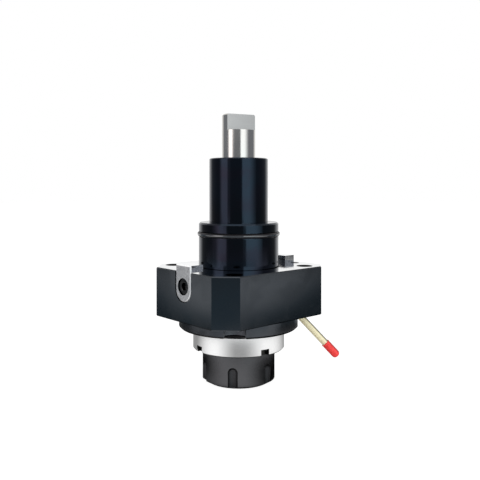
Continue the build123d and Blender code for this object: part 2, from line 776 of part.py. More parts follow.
# Coolant nozzle: screwed body, ball clamped under a seat sleeve, straight tube and cap
nozzle_z = flange_bottom_z - nozzle_drop
nozzle_mouth_z = nozzle_z - nozzle_mouth_drop
nozzle_top_z = flange_bottom_z + nozzle_thread_length
ball_radius = nozzle_ball_diameter / 2
tube_radius = tube_diameter / 2
tube_plane = Plane(
    origin=(nozzle_x, nozzle_y, nozzle_z),
    z_dir=(
        cos(radians(tube_fall)) * cos(radians(tube_heading)),
        cos(radians(tube_fall)) * sin(radians(tube_heading)),
        -sin(radians(tube_fall)),
    ),
)
with BuildPart() as nozzle_body:
    with BuildSketch(Plane.XY.offset(nozzle_mouth_z)):
        with Locations((nozzle_x, nozzle_y)):
            Circle(nozzle_collar_diameter / 2)
            Rectangle(nozzle_collar_flats, nozzle_collar_diameter, mode=Mode.INTERSECT)
    extrude(amount=flange_bottom_z - nozzle_mouth_z)
    with BuildSketch(Plane.XY.offset(flange_bottom_z)):
        with Locations((nozzle_x, nozzle_y)):
            Circle(nozzle_thread_diameter / 2 - thread_gap)
    extrude(amount=nozzle_thread_length - face_gap)
    with Locations((nozzle_x, nozzle_y, nozzle_z)):
        Sphere(ball_radius + running_gap, mode=Mode.SUBTRACT)
    with BuildSketch(Plane.XY.offset(nozzle_z)):
        with Locations((nozzle_x, nozzle_y)):
            Circle(ball_radius + running_gap)
    extrude(amount=nozzle_top_z - nozzle_z, mode=Mode.SUBTRACT)
save(nozzle_body, "coolant_nozzle_body")

with BuildPart() as nozzle_seat:
    with BuildSketch(Plane.XY.offset(nozzle_z + nozzle_seat_overlap)):
        with Locations((nozzle_x, nozzle_y)):
            Circle(ball_radius - running_gap)
            Circle(nozzle_seat_bore / 2, mode=Mode.SUBTRACT)
    extrude(amount=nozzle_top_z - face_gap - nozzle_z - nozzle_seat_overlap)
    with Locations((nozzle_x, nozzle_y, nozzle_z)):
        Sphere(ball_radius + running_gap, mode=Mode.SUBTRACT)
save(nozzle_seat, "coolant_nozzle_seat")

with BuildPart() as nozzle_ball:
    with Locations((nozzle_x, nozzle_y, nozzle_z)):
        Sphere(ball_radius)
    with BuildSketch(tube_plane):
        Circle(tube_radius + seat_gap)
    extrude(amount=nozzle_ball_diameter, mode=Mode.SUBTRACT)
    with BuildSketch(tube_plane):
        Circle(tube_radius - tube_wall)
    extrude(amount=-nozzle_ball_diameter, mode=Mode.SUBTRACT)
save(nozzle_ball, "coolant_nozzle_ball")

with BuildPart() as coolant_tube:
    with BuildSketch(tube_plane.offset(seat_gap)):
        Circle(tube_radius)
        Circle(tube_radius - tube_wall, mode=Mode.SUBTRACT)
    extrude(amount=tube_length - seat_gap)
save(coolant_tube, "coolant_tube")

with BuildPart() as tube_cap:
    with BuildSketch(tube_plane.offset(tube_length - cap_engagement)):
        Circle(cap_diameter / 2)
    extrude(amount=cap_length)
    fillet(tube_cap.edges().sort_by(Axis.Z)[0], cap_rounding)
    with BuildSketch(tube_plane.offset(tube_length - cap_engagement)):
        Circle(tube_radius + running_gap)
    extrude(amount=cap_engagement + face_gap, mode=Mode.SUBTRACT)
save(tube_cap, "tube_cap")
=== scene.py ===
"""Dresses the straight live tool holder: finishes, fine forms, studio and camera.

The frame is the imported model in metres, +Z up the spigot, with the origin in the seating plane
of the flange. The camera stands where the photograph was taken from.
"""

import json
import logging
import math
from dataclasses import dataclass, field
from enum import Enum
from functools import partialmethod
from typing import Any, Callable, ClassVar, NamedTuple, Sequence

import bmesh
import bpy
from mathutils import Matrix, Vector

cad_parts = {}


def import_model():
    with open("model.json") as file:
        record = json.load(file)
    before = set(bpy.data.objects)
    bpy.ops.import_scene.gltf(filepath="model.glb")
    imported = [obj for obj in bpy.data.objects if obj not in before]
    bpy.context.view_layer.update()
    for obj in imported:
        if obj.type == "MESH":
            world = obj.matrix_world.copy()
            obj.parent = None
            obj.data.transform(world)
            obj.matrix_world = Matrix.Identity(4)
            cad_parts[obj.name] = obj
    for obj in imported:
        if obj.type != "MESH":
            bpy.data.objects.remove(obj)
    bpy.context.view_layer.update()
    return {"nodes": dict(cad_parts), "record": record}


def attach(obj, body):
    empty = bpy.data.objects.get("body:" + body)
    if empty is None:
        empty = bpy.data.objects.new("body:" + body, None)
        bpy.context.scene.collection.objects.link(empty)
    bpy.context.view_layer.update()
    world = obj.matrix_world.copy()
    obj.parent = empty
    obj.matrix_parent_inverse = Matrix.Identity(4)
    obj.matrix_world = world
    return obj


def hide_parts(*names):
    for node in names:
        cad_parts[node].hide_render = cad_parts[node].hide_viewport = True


LOG = logging.getLogger("tool_holder")
MM = 0.001

Colour = tuple[float, float, float]
Pair = tuple[float, float]
Socket = bpy.types.NodeSocket
Node = bpy.types.ShaderNode

WHITE: Colour = (1.0, 1.0, 1.0)
BLACK: Colour = (0.0, 0.0, 0.0)
# The picture's polished steel mirrors neither the left key nor the tube and its cap.
UNMIRRORED = ("locating_key_left", "drawn_coolant_tube", "moulded_tube_cap")
# The way that the upper side of the slanting coolant tube looks, where the tube and its cap are
# painted darker as shade.
UPPER_SIDE = (0.497, 0.561, 0.662)
# The part of a normal that lies along an axis is over the first for faces that look along it,
# and under the second for faces that look aside.
UPWARD = 0.9
ASIDE = 0.3


class Form(Enum):
    """What a stretch of a turned surface carries."""

    PLAIN = "plain"
    THREAD = "thread"
    KNURL = "knurl"
    HEXAGON = "hexagon"
    FLATS = "flats"


class RayKind(Enum):
    """The kinds of light ray that the backdrop tells apart, as Light Path names them."""

    CAMERA = "Is Camera Ray"
    GLOSSY = "Is Glossy Ray"
    TRANSMISSION = "Is Transmission Ray"


def scaled(colour: Colour, share: float) -> Colour:
    """A colour times a share."""
    return tuple(part * share for part in colour)


def level(degrees: float) -> Vector:
    """The level direction at a heading."""
    heading = math.radians(degrees)
    return Vector((math.cos(heading), math.sin(heading), 0.0))


# Node trees


class NodeBoard:
    """A node tree with short calls that add nodes, link them and do sums."""

    def __init__(self, tree: bpy.types.NodeTree) -> None:
        """Starts on a tree, which it empties."""
        self.tree = tree
        tree.nodes.clear()

    def plug(self, socket: Socket, value: Any) -> None:
        """Links a socket to another node's output, or sets its number, direction or colour."""
        if isinstance(value, bpy.types.NodeSocket):
            self.tree.links.new(value, socket)
        elif isinstance(value, (int, float)):
            socket.default_value = value
        else:
            room = len(socket.default_value)
            socket.default_value = (*value, *[1.0] * room)[:room]

    def add(self, kind: str, inputs: dict[Any, Any] | None = None, **settings: Any) -> Node:
        """Adds a node.

        Args:
            kind: the node's type, without the ShaderNode in front of it.
            inputs: what goes into its sockets, by name or number.
            **settings: properties of the node.

        Returns:
            The new node.
        """
        prefix = "" if kind.startswith("NodeGroup") else "ShaderNode"
        node = self.tree.nodes.new(prefix + kind)
        for name, value in settings.items():
            setattr(node, name, value)
        for key, value in (inputs or {}).items():
            self.plug(node.inputs[key], value)
        return node

    def sum(self, operation: str, *values: Any, clamp: bool = False) -> Socket:
        """The result of a Math node on one or two values."""
        inputs = dict(enumerate(values))
        return self.add("Math", inputs, operation=operation, use_clamp=clamp).outputs[0]

    times = partialmethod(sum, "MULTIPLY")
    plus = partialmethod(sum, "ADD")
    minus = partialmethod(sum, "SUBTRACT")
    over = partialmethod(sum, "GREATER_THAN")
    under = partialmethod(sum, "LESS_THAN")
    size = partialmethod(sum, "ABSOLUTE")

    def vector(self, operation: str, *values: Any) -> Socket:
        """The result of a Vector Math node: a number for lengths, distances and dot products."""
        node = self.add("VectorMath", dict(enumerate(values)), operation=operation)
        numeric = operation in ("DOT_PRODUCT", "LENGTH", "DISTANCE")
        return node.outputs["Value" if numeric else "Vector"]

    def map(self, value: Any, low: Any, high: Any, start: Any = 0.0, end: Any = 1.0) -> Socket:
        """Maps low to high onto start to end with a smooth step, and holds the ends outside."""
        ends = {"From Min": low, "From Max": high, "To Min": start, "To Max": end}
        node = self.add("MapRange", {"Value": value, **ends}, interpolation_type="SMOOTHSTEP")
        return node.outputs["Result"]

    def blend(self, factor: Any, first: Any, second: Any) -> Socket:
        """Mixes two colours; a factor of 0 gives the first."""
        return self.add("Mix", {0: factor, 6: first, 7: second}, data_type="RGBA").outputs[2]

    def between(self, factor: Any, first: Any, second: Any) -> Socket:
        """Mixes two numbers; a factor of 0 gives the first."""
        return self.add("Mix", {0: factor, 2: first, 3: second}, data_type="FLOAT").outputs[0]

    def cover(self, factor: Any, first: Socket, second: Socket) -> Socket:
        """Mixes two shaders; a factor of 0 gives the first."""
        return self.add("MixShader", {0: factor, 1: first, 2: second}).outputs[0]

    def noise(self, place: Any, scale: Any, detail: float, distortion: float = 0.0) -> Socket:
        """A noise at a place, with as many waves in a metre as the scale says."""
        inputs = {"Vector": place, "Scale": scale, "Detail": detail, "Distortion": distortion}
        return self.add("TexNoise", inputs).outputs["Fac"]

    def bump(self, height: Socket, depth: float) -> Socket:
        """A normal that is bumped by a pattern, with the pattern's depth in metres."""
        return self.add("Bump", {"Height": height, "Distance": depth, "Strength": 1.0}).outputs[0]

    def split(self, vector: Socket) -> Sequence[Socket]:
        """The three parts of a vector."""
        return tuple(self.add("SeparateXYZ", {0: vector}).outputs)

    @property
    def place(self) -> Socket:
        """The place in the holder's frame."""
        return self.add("TexCoord").outputs["Object"]

    @property
    def normal(self) -> Socket:
        """The way the surface looks in the holder's frame."""
        return self.add("TexCoord").outputs["Normal"]


def board_of(owner: Any) -> NodeBoard:
    """The emptied node tree of a material, a lamp or the world."""
    owner.use_nodes = True
    return NodeBoard(owner.node_tree)


# Effects shared by more than one finish


@dataclass(frozen=True)
class Effect:
    """A node group that finishes share. It is built once, when it is first placed.

    Attributes:
        name: the group's name.
        inputs: its number inputs with their defaults.
        outputs: the names of its number outputs.
        fill: adds its nodes, and gives the socket for each output.
    """

    name: str
    inputs: dict[str, float]
    outputs: Sequence[str]
    fill: Callable[[NodeBoard, Any], dict[str, Socket]]

    def build(self) -> bpy.types.NodeTree:
        """Builds the group."""
        tree = bpy.data.node_groups.new(self.name, "ShaderNodeTree")
        number = "NodeSocketFloat"
        for label, default in self.inputs.items():
            socket = tree.interface.new_socket(label, in_out="INPUT", socket_type=number)
            socket.default_value = default
        for label in self.outputs:
            tree.interface.new_socket(label, in_out="OUTPUT", socket_type=number)
        board = NodeBoard(tree)
        board.add("NodeGroupOutput", self.fill(board, board.add("NodeGroupInput").outputs))
        return tree

    def on(self, board: NodeBoard, **inputs: Any) -> Any:
        """Places the effect in a node tree.

        Args:
            board: the node tree.
            **inputs: its inputs, with an underscore for each space in their names.

        Returns:
            Its outputs, by name or number.
        """
        group = bpy.data.node_groups.get(self.name) or self.build()
        given = {name.replace("_", " "): value for name, value in inputs.items()}
        return board.add("Group", given, node_tree=group).outputs


def fill_lathe_marks(board: NodeBoard, given: Any) -> dict[str, Socket]:
    """Fine rings around the axis: one noise along height and radius together."""
    place = board.place
    x, y, height = board.split(place)
    flat = board.add("CombineXYZ", {0: x, 1: y}).outputs[0]
    run = board.minus(height, board.vector("LENGTH", flat))
    wander = board.times(board.noise(place, scale=60.0, detail=1.0), given["Wander"])
    along = board.plus(board.times(run, given["Rings per metre"]), wander)
    inputs = {"W": along, "Scale": 1.0, "Detail": 3.0, "Roughness": 0.6}
    return {"Rings": board.add("TexNoise", inputs, noise_dimensions="1D").outputs["Fac"]}


def fill_ground_lines(board: NodeBoard, given: Any) -> dict[str, Socket]:
    """Straight grinding lines: a noise that is stretched along one level direction."""
    inputs = {"Vector": board.place, "Angle": given["Heading"]}
    turned = board.add("VectorRotate", inputs, rotation_type="Z_AXIS").outputs[0]
    waves = {0: given["Lines per metre"], 1: 60.0, 2: given["Upright lines per metre"]}
    stretch = board.add("CombineXYZ", waves).outputs[0]
    return {"Lines": board.noise(board.vector("MULTIPLY", turned, stretch), scale=1.0, detail=3.0)}


def fill_handling(board: NodeBoard, given: Any) -> dict[str, Socket]:
    """Patches that oil and handling leave a little duller, and fine grain everywhere."""
    place = board.place
    broad = board.noise(place, given["Patches per metre"], detail=4.0, distortion=0.6)
    fine = board.noise(place, given["Grains per metre"], detail=2.0)
    return {"Patches": board.map(broad, low=0.42, high=0.66), "Grain": fine}


def fill_edge_wear(board: NodeBoard, given: Any) -> dict[str, Socket]:
    """1 on sharp edges, where a rounded normal leaves the face's own, broken up by noise."""
    rounded = board.add("Bevel", {"Radius": given["Width"]}, samples=4).outputs[0]
    facing = board.add("NewGeometry").outputs["Normal"]
    edge = board.map(board.vector("DOT_PRODUCT", rounded, facing), low=0.995, high=0.93)
    broken = board.map(board.noise(board.place, scale=420.0, detail=3.0), low=0.38, high=0.62)
    worn = board.times(edge, broken)
    return {"Edge": board.sum("MULTIPLY", worn, given["Amount"], clamp=True)}


def fill_core(board: NodeBoard, given: Any) -> dict[str, Socket]:
    """1 on what lies nearer the holder's axis than a radius."""
    radius = board.vector("LENGTH", board.vector("MULTIPLY", board.place, (1.0, 1.0, 0.0)))
    softness = 0.0002
    near = board.minus(given["Radius"], softness)
    return {"Inside": board.map(radius, near, given["Radius"], 1.0, 0.0)}


def fill_height_zone(board: NodeBoard, given: Any) -> dict[str, Socket]:
    """Masks for what lies above a height, looks straight up, or looks sideways."""
    clearance, softness = 0.00001, 0.00002
    low = board.plus(given["Height"], clearance)
    above = board.map(board.split(board.place)[2], low, board.plus(low, softness))
    facing = board.split(board.normal)[2]
    upright = board.under(board.size(facing), ASIDE)
    return {"Above": above, "Up": board.over(facing, UPWARD), "Upright": upright}


LATHE_MARKS = Effect(
    "lathe_marks", {"Rings per metre": 2500.0, "Wander": 0.4}, ["Rings"], fill_lathe_marks
)
GROUND_LINES = Effect(
    "ground_lines",
    {"Heading": 0.0, "Lines per metre": 3000.0, "Upright lines per metre": 3000.0},
    ["Lines"],
    fill_ground_lines,
)
HANDLING = Effect(
    "handling",
    {"Patches per metre": 55.0, "Grains per metre": 2600.0},
    ["Patches", "Grain"],
    fill_handling,
)
EDGE_WEAR = Effect("edge_wear", {"Width": 0.0003, "Amount": 0.5}, ["Edge"], fill_edge_wear)
CORE = Effect("core", {"Radius": 0.03}, ["Inside"], fill_core)
HEIGHT_ZONE = Effect("height_zone", {"Height": 0.0}, ["Above", "Up", "Upright"], fill_height_zone)


# Finishes


@dataclass(frozen=True)
class Finish:
    """What every finish has: a name, a colour and a gloss."""

    name: str
    colour: Colour
    roughness: float
    patches_per_metre: ClassVar[float] = 55.0
    grains_per_metre: ClassVar[float] = 2600.0

    def dress(self, board: NodeBoard) -> dict[str, Any]:
        """Adds the pattern nodes.

        Args:
            board: the material's node tree.

        Returns:
            What goes into the Principled shader's sockets, by name.
        """
        raise NotImplementedError

    def material(self) -> bpy.types.Material:
        """Builds the material."""
        made = bpy.data.materials.new(self.name)
        made.diffuse_color = (*self.colour, 1.0)
        board = board_of(made)
        shader = board.add("BsdfPrincipled")
        for socket, value in self.dress(board).items():
            board.plug(shader.inputs[socket], value)
        board.add("OutputMaterial", {"Surface": shader.outputs[0]})
        return made

    def hands(self, board: NodeBoard) -> Any:
        """Places the marks of handling, and gives their outputs."""
        patches, grains = self.patches_per_metre, self.grains_per_metre
        return HANDLING.on(board, Patches_per_metre=patches, Grains_per_metre=grains)

    def patchy(self, board: NodeBoard, patches: Socket, more: float) -> Socket:
        """The roughness, with more of it where the surface has been handled."""
        return board.map(patches, 0.0, 1.0, self.roughness, self.roughness + more)

    def grainy(self, board: NodeBoard, grain: Socket, less: float, more: float) -> Socket:
        """The roughness, from less to more of it with the grain."""
        return board.map(grain, 0.3, 0.7, self.roughness - less, self.roughness + more)


def overlay(
    board: NodeBoard, dressed: dict[str, Any], mask: Socket, colour: Any, roughness: float
) -> dict[str, Any]:
    """Gives part of a finish its own colour and roughness.

    Args:
        board: the material's node tree.
        dressed: what goes into the shader so far.
        mask: 1 on the part.
        colour: the part's colour.
        roughness: the part's roughness.

    Returns:
        What goes into the shader's sockets now.
    """
    return {
        **dressed,
        "Base Color": board.blend(mask, dressed["Base Color"], colour),
        "Roughness": board.between(mask, dressed["Roughness"], roughness),
    }


def painted_upper_shade(board: NodeBoard, start: float, full: float) -> Socket:
    """A mask for the painted shade on the upper side of the slanting tube, from where it starts to
    where it is 1.
    """
    return board.map(board.vector("DOT_PRODUCT", board.normal, UPPER_SIDE), start, full)


@dataclass(frozen=True)
class LatheFinish(Finish):
    """Turned or round-ground metal, with rings around the axis."""

    rings_per_metre: float = 3000.0
    ring_depth: float = 0.000002
    ring_contrast: float = 0.15
    roughness_swing: float = 0.06
    stretch: float = 0.5
    worn_colour: Colour = (0.5, 0.5, 0.5)
    wear: float = 0.0

    def dress(self, board: NodeBoard) -> dict[str, Any]:
        """Adds rings, patches of handling and worn edges."""
        rings = LATHE_MARKS.on(board, Rings_per_metre=self.rings_per_metre)[0]
        hands = self.hands(board)
        rough = self.patchy(board, hands["Patches"], self.roughness_swing)
        grainy = board.times(board.minus(hands["Grain"], 0.5), self.roughness_swing)
        metal = board.blend(rings, scaled(self.colour, 1.0 - self.ring_contrast), self.colour)
        if self.wear:
            edge = EDGE_WEAR.on(board, Amount=self.wear)[0]
            metal = board.blend(edge, metal, self.worn_colour)
        return {
            "Base Color": metal,
            "Metallic": 1.0,
            "Roughness": board.plus(rough, grainy),
            "Anisotropic": self.stretch,
            "Anisotropic Rotation": 0.25,
            "Normal": board.bump(rings, self.ring_depth),
        }


@dataclass(frozen=True)
class SpindleFinish(LatheFinish):
    """The ground spindle, whose tang flats are milled and duller."""

    tang_bottom: float = 0.093
    flat_heading: float = -13.6
    flat_agreement: float = 0.998
    flat_colour: Colour = (0.45, 0.44, 0.43)
    flat_contrast: float = 0.18
    flat_roughness: float = 0.30
    flat_lines: float = 300.0
    flat_upright_lines: float = 5200.0

    def dress(self, board: NodeBoard) -> dict[str, Any]:
        """Gives the two flats of the tang their own colour and gloss."""
        dressed = super().dress(board)
        height = board.split(board.place)[2]
        facing = board.size(board.vector("DOT_PRODUCT", board.normal, level(self.flat_heading)))
        flat = board.over(facing, self.flat_agreement)
        flats = board.times(flat, board.over(height, self.tang_bottom))
        lines = GROUND_LINES.on(
            board,
            Lines_per_metre=self.flat_lines,
            Upright_lines_per_metre=self.flat_upright_lines,
        )[0]
        dark = scaled(self.flat_colour, 1.0 - self.flat_contrast)
        milled = board.blend(lines, dark, self.flat_colour)
        return overlay(board, dressed, flats, milled, self.flat_roughness)


@dataclass(frozen=True)
class ShadedRecessFinish(LatheFinish):
    """Turned metal with painted shade in its slots and hollows, whose walls are coloured darker,
    and are duller, than its skin.
    """

    inner_radius: float = 0.0308
    recess_painted_shade: Colour = (0.035, 0.034, 0.033)
    recess_lift: float = 1.3
    recess_roughness: float = 0.3

    def dress(self, board: NodeBoard) -> dict[str, Any]:
        """Paints shade on the upright walls under the outer skin, and dulls them."""
        dressed = super().dress(board)
        core = CORE.on(board, Radius=self.inner_radius)[0]
        inside = board.times(core, HEIGHT_ZONE.on(board)["Upright"])
        # Painted shade: the upright walls inside the inner radius are coloured darker.
        lifted = scaled(self.recess_painted_shade, self.recess_lift)
        hollow = board.blend(self.hands(board)["Grain"], self.recess_painted_shade, lifted)
        return overlay(board, dressed, inside, hollow, self.recess_roughness)


@dataclass(frozen=True)
class TubeFinish(Finish):
    """Drawn pale brass tube, with a thin tarnish and painted shade on its upper side."""

    patches_per_metre: ClassVar[float] = 160.0
    grains_per_metre: ClassVar[float] = 3800.0
    tarnish: Colour = (0.96, 0.85, 0.50)
    tarnish_share: float = 0.2
    upper_painted_shade: Colour = (0.15, 0.14, 0.075)
    upper_shade_step: Pair = (0.56, 0.84)
    gloss: float = 0.9
    grain_depth: float = 0.000002

    def dress(self, board: NodeBoard) -> dict[str, Any]:
        """Adds tarnish, grain and the painted shade on the upper side."""
        hands = self.hands(board)
        thin = board.times(hands["Patches"], self.tarnish_share)
        drawn = board.blend(thin, self.colour, self.tarnish)
        # Painted shade: the side turned up is coloured darker.
        upper = painted_upper_shade(board, *self.upper_shade_step)
        return {
            "Base Color": board.blend(upper, drawn, self.upper_painted_shade),
            "Specular IOR Level": self.gloss,
            "Roughness": self.grainy(board, hands["Grain"], less=0.04, more=0.06),
            "Normal": board.bump(hands["Grain"], self.grain_depth),
        }


@dataclass(frozen=True)
class KeyFinish(Finish):
    """A locating key: blasted on its face, polished on its sides, with a bright broken edge."""

    lines_per_metre: float = 3200.0
    line_contrast: float = 0.2
    line_depth: float = 0.000002
    roughness_swing: float = 0.08
    wear: float = 0.6
    worn_colour: Colour = (0.8, 0.8, 0.8)
    top_colour: Colour = (0.86, 0.87, 0.88)
    side_colour: Colour = (0.80, 0.81, 0.83)
    side_pits: float = 0.55
    side_roughness: float = 0.07
    edge_colour: Colour = WHITE
    edge_roughness: float = 0.62
    edge_step: Pair = (0.5, 0.9)
    face_place: float = 0.04
    speckle: float = 0.32
    speckle_gain: float = 1.1
    speckle_step: Pair = (0.35, 0.65)
    speckles_per_metre: float = 1900.0
    pit_step: Pair = (0.4, 0.6)

    def ground(self, board: NodeBoard) -> dict[str, Any]:
        """Flat-ground steel, with straight lines, handling and worn edges."""
        lines = GROUND_LINES.on(board, Heading=0.0, Lines_per_metre=self.lines_per_metre)[0]
        hands = self.hands(board)
        edge = EDGE_WEAR.on(board, Amount=self.wear)[0]
        metal = board.blend(lines, scaled(self.colour, 1.0 - self.line_contrast), self.colour)
        return {
            "Base Color": board.blend(edge, metal, self.worn_colour),
            "Metallic": 1.0,
            "Roughness": self.patchy(board, hands["Patches"], self.roughness_swing),
            "Normal": board.bump(lines, self.line_depth),
        }

    def dress(self, board: NodeBoard) -> dict[str, Any]:
        """Tells face, sides and broken edges apart by where they look."""
        dressed = self.ground(board)
        normal = board.split(board.normal)
        outer = board.over(board.size(board.split(board.place)[1]), self.face_place)
        out = board.times(board.size(normal[1]), outer)
        side = board.under(out, ASIDE)
        edge = board.times(board.over(out, self.edge_step[0]), board.under(out, self.edge_step[1]))
        grain = HANDLING.on(board, Grains_per_metre=self.speckles_per_metre)["Grain"]
        specks = board.map(grain, *self.speckle_step, 1.0 - self.speckle, self.speckle_gain)
        pitted = scaled(self.side_colour, 1.0 - self.side_pits)
        mottled = board.blend(board.map(grain, *self.pit_step), pitted, self.side_colour)
        polished = board.blend(board.over(normal[2], UPWARD), mottled, self.top_colour)
        face = {0: dressed["Base Color"], "Scale": specks}
        dressed["Base Color"] = board.add("VectorMath", face, operation="SCALE").outputs[0]
        dressed = overlay(board, dressed, side, polished, self.side_roughness)
        return overlay(board, dressed, edge, self.edge_colour, self.edge_roughness)


@dataclass(frozen=True)
class OxideFinish(Finish):
    """The holder's blackened steel: polished shank, satin flange and a bright ground seat, with
    painted shade on the boss's lower lip, the scallop's foot and the screw holes, and the
    scallop's upper walls painted lighter.

    Heights, radii and places are in metres in the holder's frame.
    """

    rings_per_metre: float = 1800.0
    worn_film: Colour = (0.0165, 0.0185, 0.0270)
    satin_colour: Colour = (0.052, 0.058, 0.0655)
    satin_roughness: float = 0.16
    satin_grain: float = 0.35
    boss_colour: Colour = (0.094, 0.098, 0.107)
    boss_roughness: float = 0.17
    boss_height: float = -0.0331
    # Painted shade: a near-black colour for the boss below lip_height, the scallop below
    # scallop_shade and the screw holes' walls; the scallop above scallop_shade is painted lighter
    # to hide its walls' shading.
    painted_shade_colour: Colour = (0.006, 0.006, 0.007)
    lip_height: float = -0.0399
    scallop_painted_light: Colour = (0.15, 0.158, 0.174)
    scallop_radius: float = 0.0405
    scallop_shade: float = -0.0391
    scallop_roughness: float = 0.6
    hole_place: float = 0.032
    hole_radius: float = 0.0058
    seat_colour: Colour = (0.86, 0.87, 0.88)
    seat_contrast: float = 0.15
    seat_roughness: float = 0.08
    seat_heading: float = 0.4
    seat_depth: float = 0.0002
    edge_width: float = 0.00025
    wear: float = 0.35
    worn_colour: Colour = (0.13, 0.145, 0.17)
    roughness_swing: float = 0.05
    depth: float = 0.0000015

    def above(self, board: NodeBoard, height: float) -> Socket:
        """1 on what lies above a height."""
        return HEIGHT_ZONE.on(board, Height=height)["Above"]

    def screw_holes(self, board: NodeBoard) -> Socket:
        """1 on the walls of the four clamping screw holes."""
        quarter = board.vector("ABSOLUTE", board.place)
        flat = board.vector("MULTIPLY", quarter, (1.0, 1.0, 0.0))
        away = board.vector("DISTANCE", flat, (self.hole_place, self.hole_place, 0.0))
        return board.under(away, self.hole_radius)

    def boss(self, board: NodeBoard, scallop: Socket) -> Socket:
        """The colour of the boss, with painted shade on its lower lip and on the scallop's foot,
        and the scallop above that painted lighter to hide its walls' shading.
        """
        skin = board.blend(self.above(board, self.lip_height), self.painted_shade_colour, self.boss_colour)
        lit = self.above(board, self.scallop_shade)
        return board.blend(scallop, skin, board.blend(lit, self.painted_shade_colour, self.scallop_painted_light))

    def dress(self, board: NodeBoard) -> dict[str, Any]:
        """Splits the body into its zones and gives each its colour and gloss."""
        zone = HEIGHT_ZONE.on(board, Height=0.0)
        shank = zone["Above"]
        on_seat = board.minus(self.above(board, -self.seat_depth), shank)
        seat = board.times(on_seat, zone["Up"])
        milled = self.above(board, self.boss_height)
        scallop = CORE.on(board, Radius=self.scallop_radius)[0]
        rings = LATHE_MARKS.on(board, Rings_per_metre=self.rings_per_metre)[0]
        lines = GROUND_LINES.on(board, Heading=self.seat_heading)[0]
        hands = self.hands(board)
        edge = EDGE_WEAR.on(board, Width=self.edge_width, Amount=self.wear)[0]
        film = board.blend(hands["Patches"], self.colour, self.worn_film)
        satin = board.blend(milled, self.boss(board, scallop), self.satin_colour)
        satin = board.blend(board.times(hands["Grain"], self.satin_grain), satin, BLACK)
        coat = board.blend(shank, satin, film)
        coat = board.blend(edge, coat, self.worn_colour)
        # Painted shade: the walls of the screw holes are coloured near-black.
        coat = board.blend(self.screw_holes(board), coat, self.painted_shade_colour)
        seat_dark = scaled(self.seat_colour, 1.0 - self.seat_contrast)
        ground = board.blend(lines, seat_dark, self.seat_colour)
        rough = board.between(scallop, self.boss_roughness, self.scallop_roughness)
        rough = board.between(milled, rough, self.satin_roughness)
        rough = board.between(shank, rough, self.roughness)
        rough = board.between(seat, rough, self.seat_roughness)
        swing = board.times(hands["Patches"], self.roughness_swing)
        return {
            "Base Color": board.blend(seat, coat, ground),
            "Metallic": 1.0,
            "Roughness": board.plus(rough, swing),
            "Normal": board.bump(board.between(shank, hands["Grain"], rings), self.depth),
        }


@dataclass(frozen=True)
class RubberFinish(Finish):
    """Oiled black rubber: a gloss round its widest line, fine grain and a bloom of dust."""

    patches_per_metre: ClassVar[float] = 140.0
    grains_per_metre: ClassVar[float] = 4200.0
    bloom_colour: Colour = (0.018, 0.019, 0.023)
    bloom_share: float = 0.3
    oil_step: Pair = (0.12, 0.45)
    oil_left: float = 0.04
    grain_depth: float = 0.000004

    def dress(self, board: NodeBoard) -> dict[str, Any]:
        """Adds grain, bloom and the oiled band."""
        tilt = board.size(board.split(board.normal)[2])
        hands = self.hands(board)
        faint = board.times(hands["Patches"], self.bloom_share)
        return {
            "Base Color": board.blend(faint, self.colour, self.bloom_colour),
            "Roughness": self.grainy(board, hands["Grain"], less=0.05, more=0.1),
            "Specular IOR Level": 0.08,
            "Coat Weight": board.map(tilt, *self.oil_step, 1.0, self.oil_left),
            "Coat IOR": 2.0,
            "Coat Roughness": 0.08,
            "Normal": board.bump(hands["Grain"], self.grain_depth),
        }


@dataclass(frozen=True)
class PlasticFinish(Finish):
    """Moulded plastic: faint flow marks, scuffed edges and painted shade on the upper side."""

    patches_per_metre: ClassVar[float] = 260.0
    grains_per_metre: ClassVar[float] = 5200.0
    shade_colour: Colour = (0.78, 0.03, 0.03)
    shade_share: float = 0.5
    scuff_colour: Colour = (0.9, 0.3, 0.28)
    scuff: float = 0.3
    upper_painted_shade: Colour = (0.42, 0.012, 0.010)
    upper_shade_step: Pair = (0.60, 0.95)
    roughness_swing: float = 0.12
    glow_depth: Colour = (0.002, 0.0006, 0.0005)
    grain_depth: float = 0.000003

    def dress(self, board: NodeBoard) -> dict[str, Any]:
        """Adds flow marks, grain, scuffs and the painted shade on the upper side."""
        hands = self.hands(board)
        edge = EDGE_WEAR.on(board, Amount=self.scuff)[0]
        flow = board.blend(hands["Patches"], self.colour, self.shade_colour)
        body = board.blend(board.times(hands["Grain"], self.shade_share), self.colour, flow)
        worn = board.blend(edge, body, self.scuff_colour)
        # Painted shade: the side turned up is coloured a darker red.
        upper = painted_upper_shade(board, *self.upper_shade_step)
        return {
            "Base Color": board.blend(upper, worn, self.upper_painted_shade),
            "Roughness": self.patchy(board, hands["Patches"], self.roughness_swing),
            "Subsurface Weight": 0.05,
            "Subsurface Radius": self.glow_depth,
            "Normal": board.bump(hands["Grain"], self.grain_depth),
        }


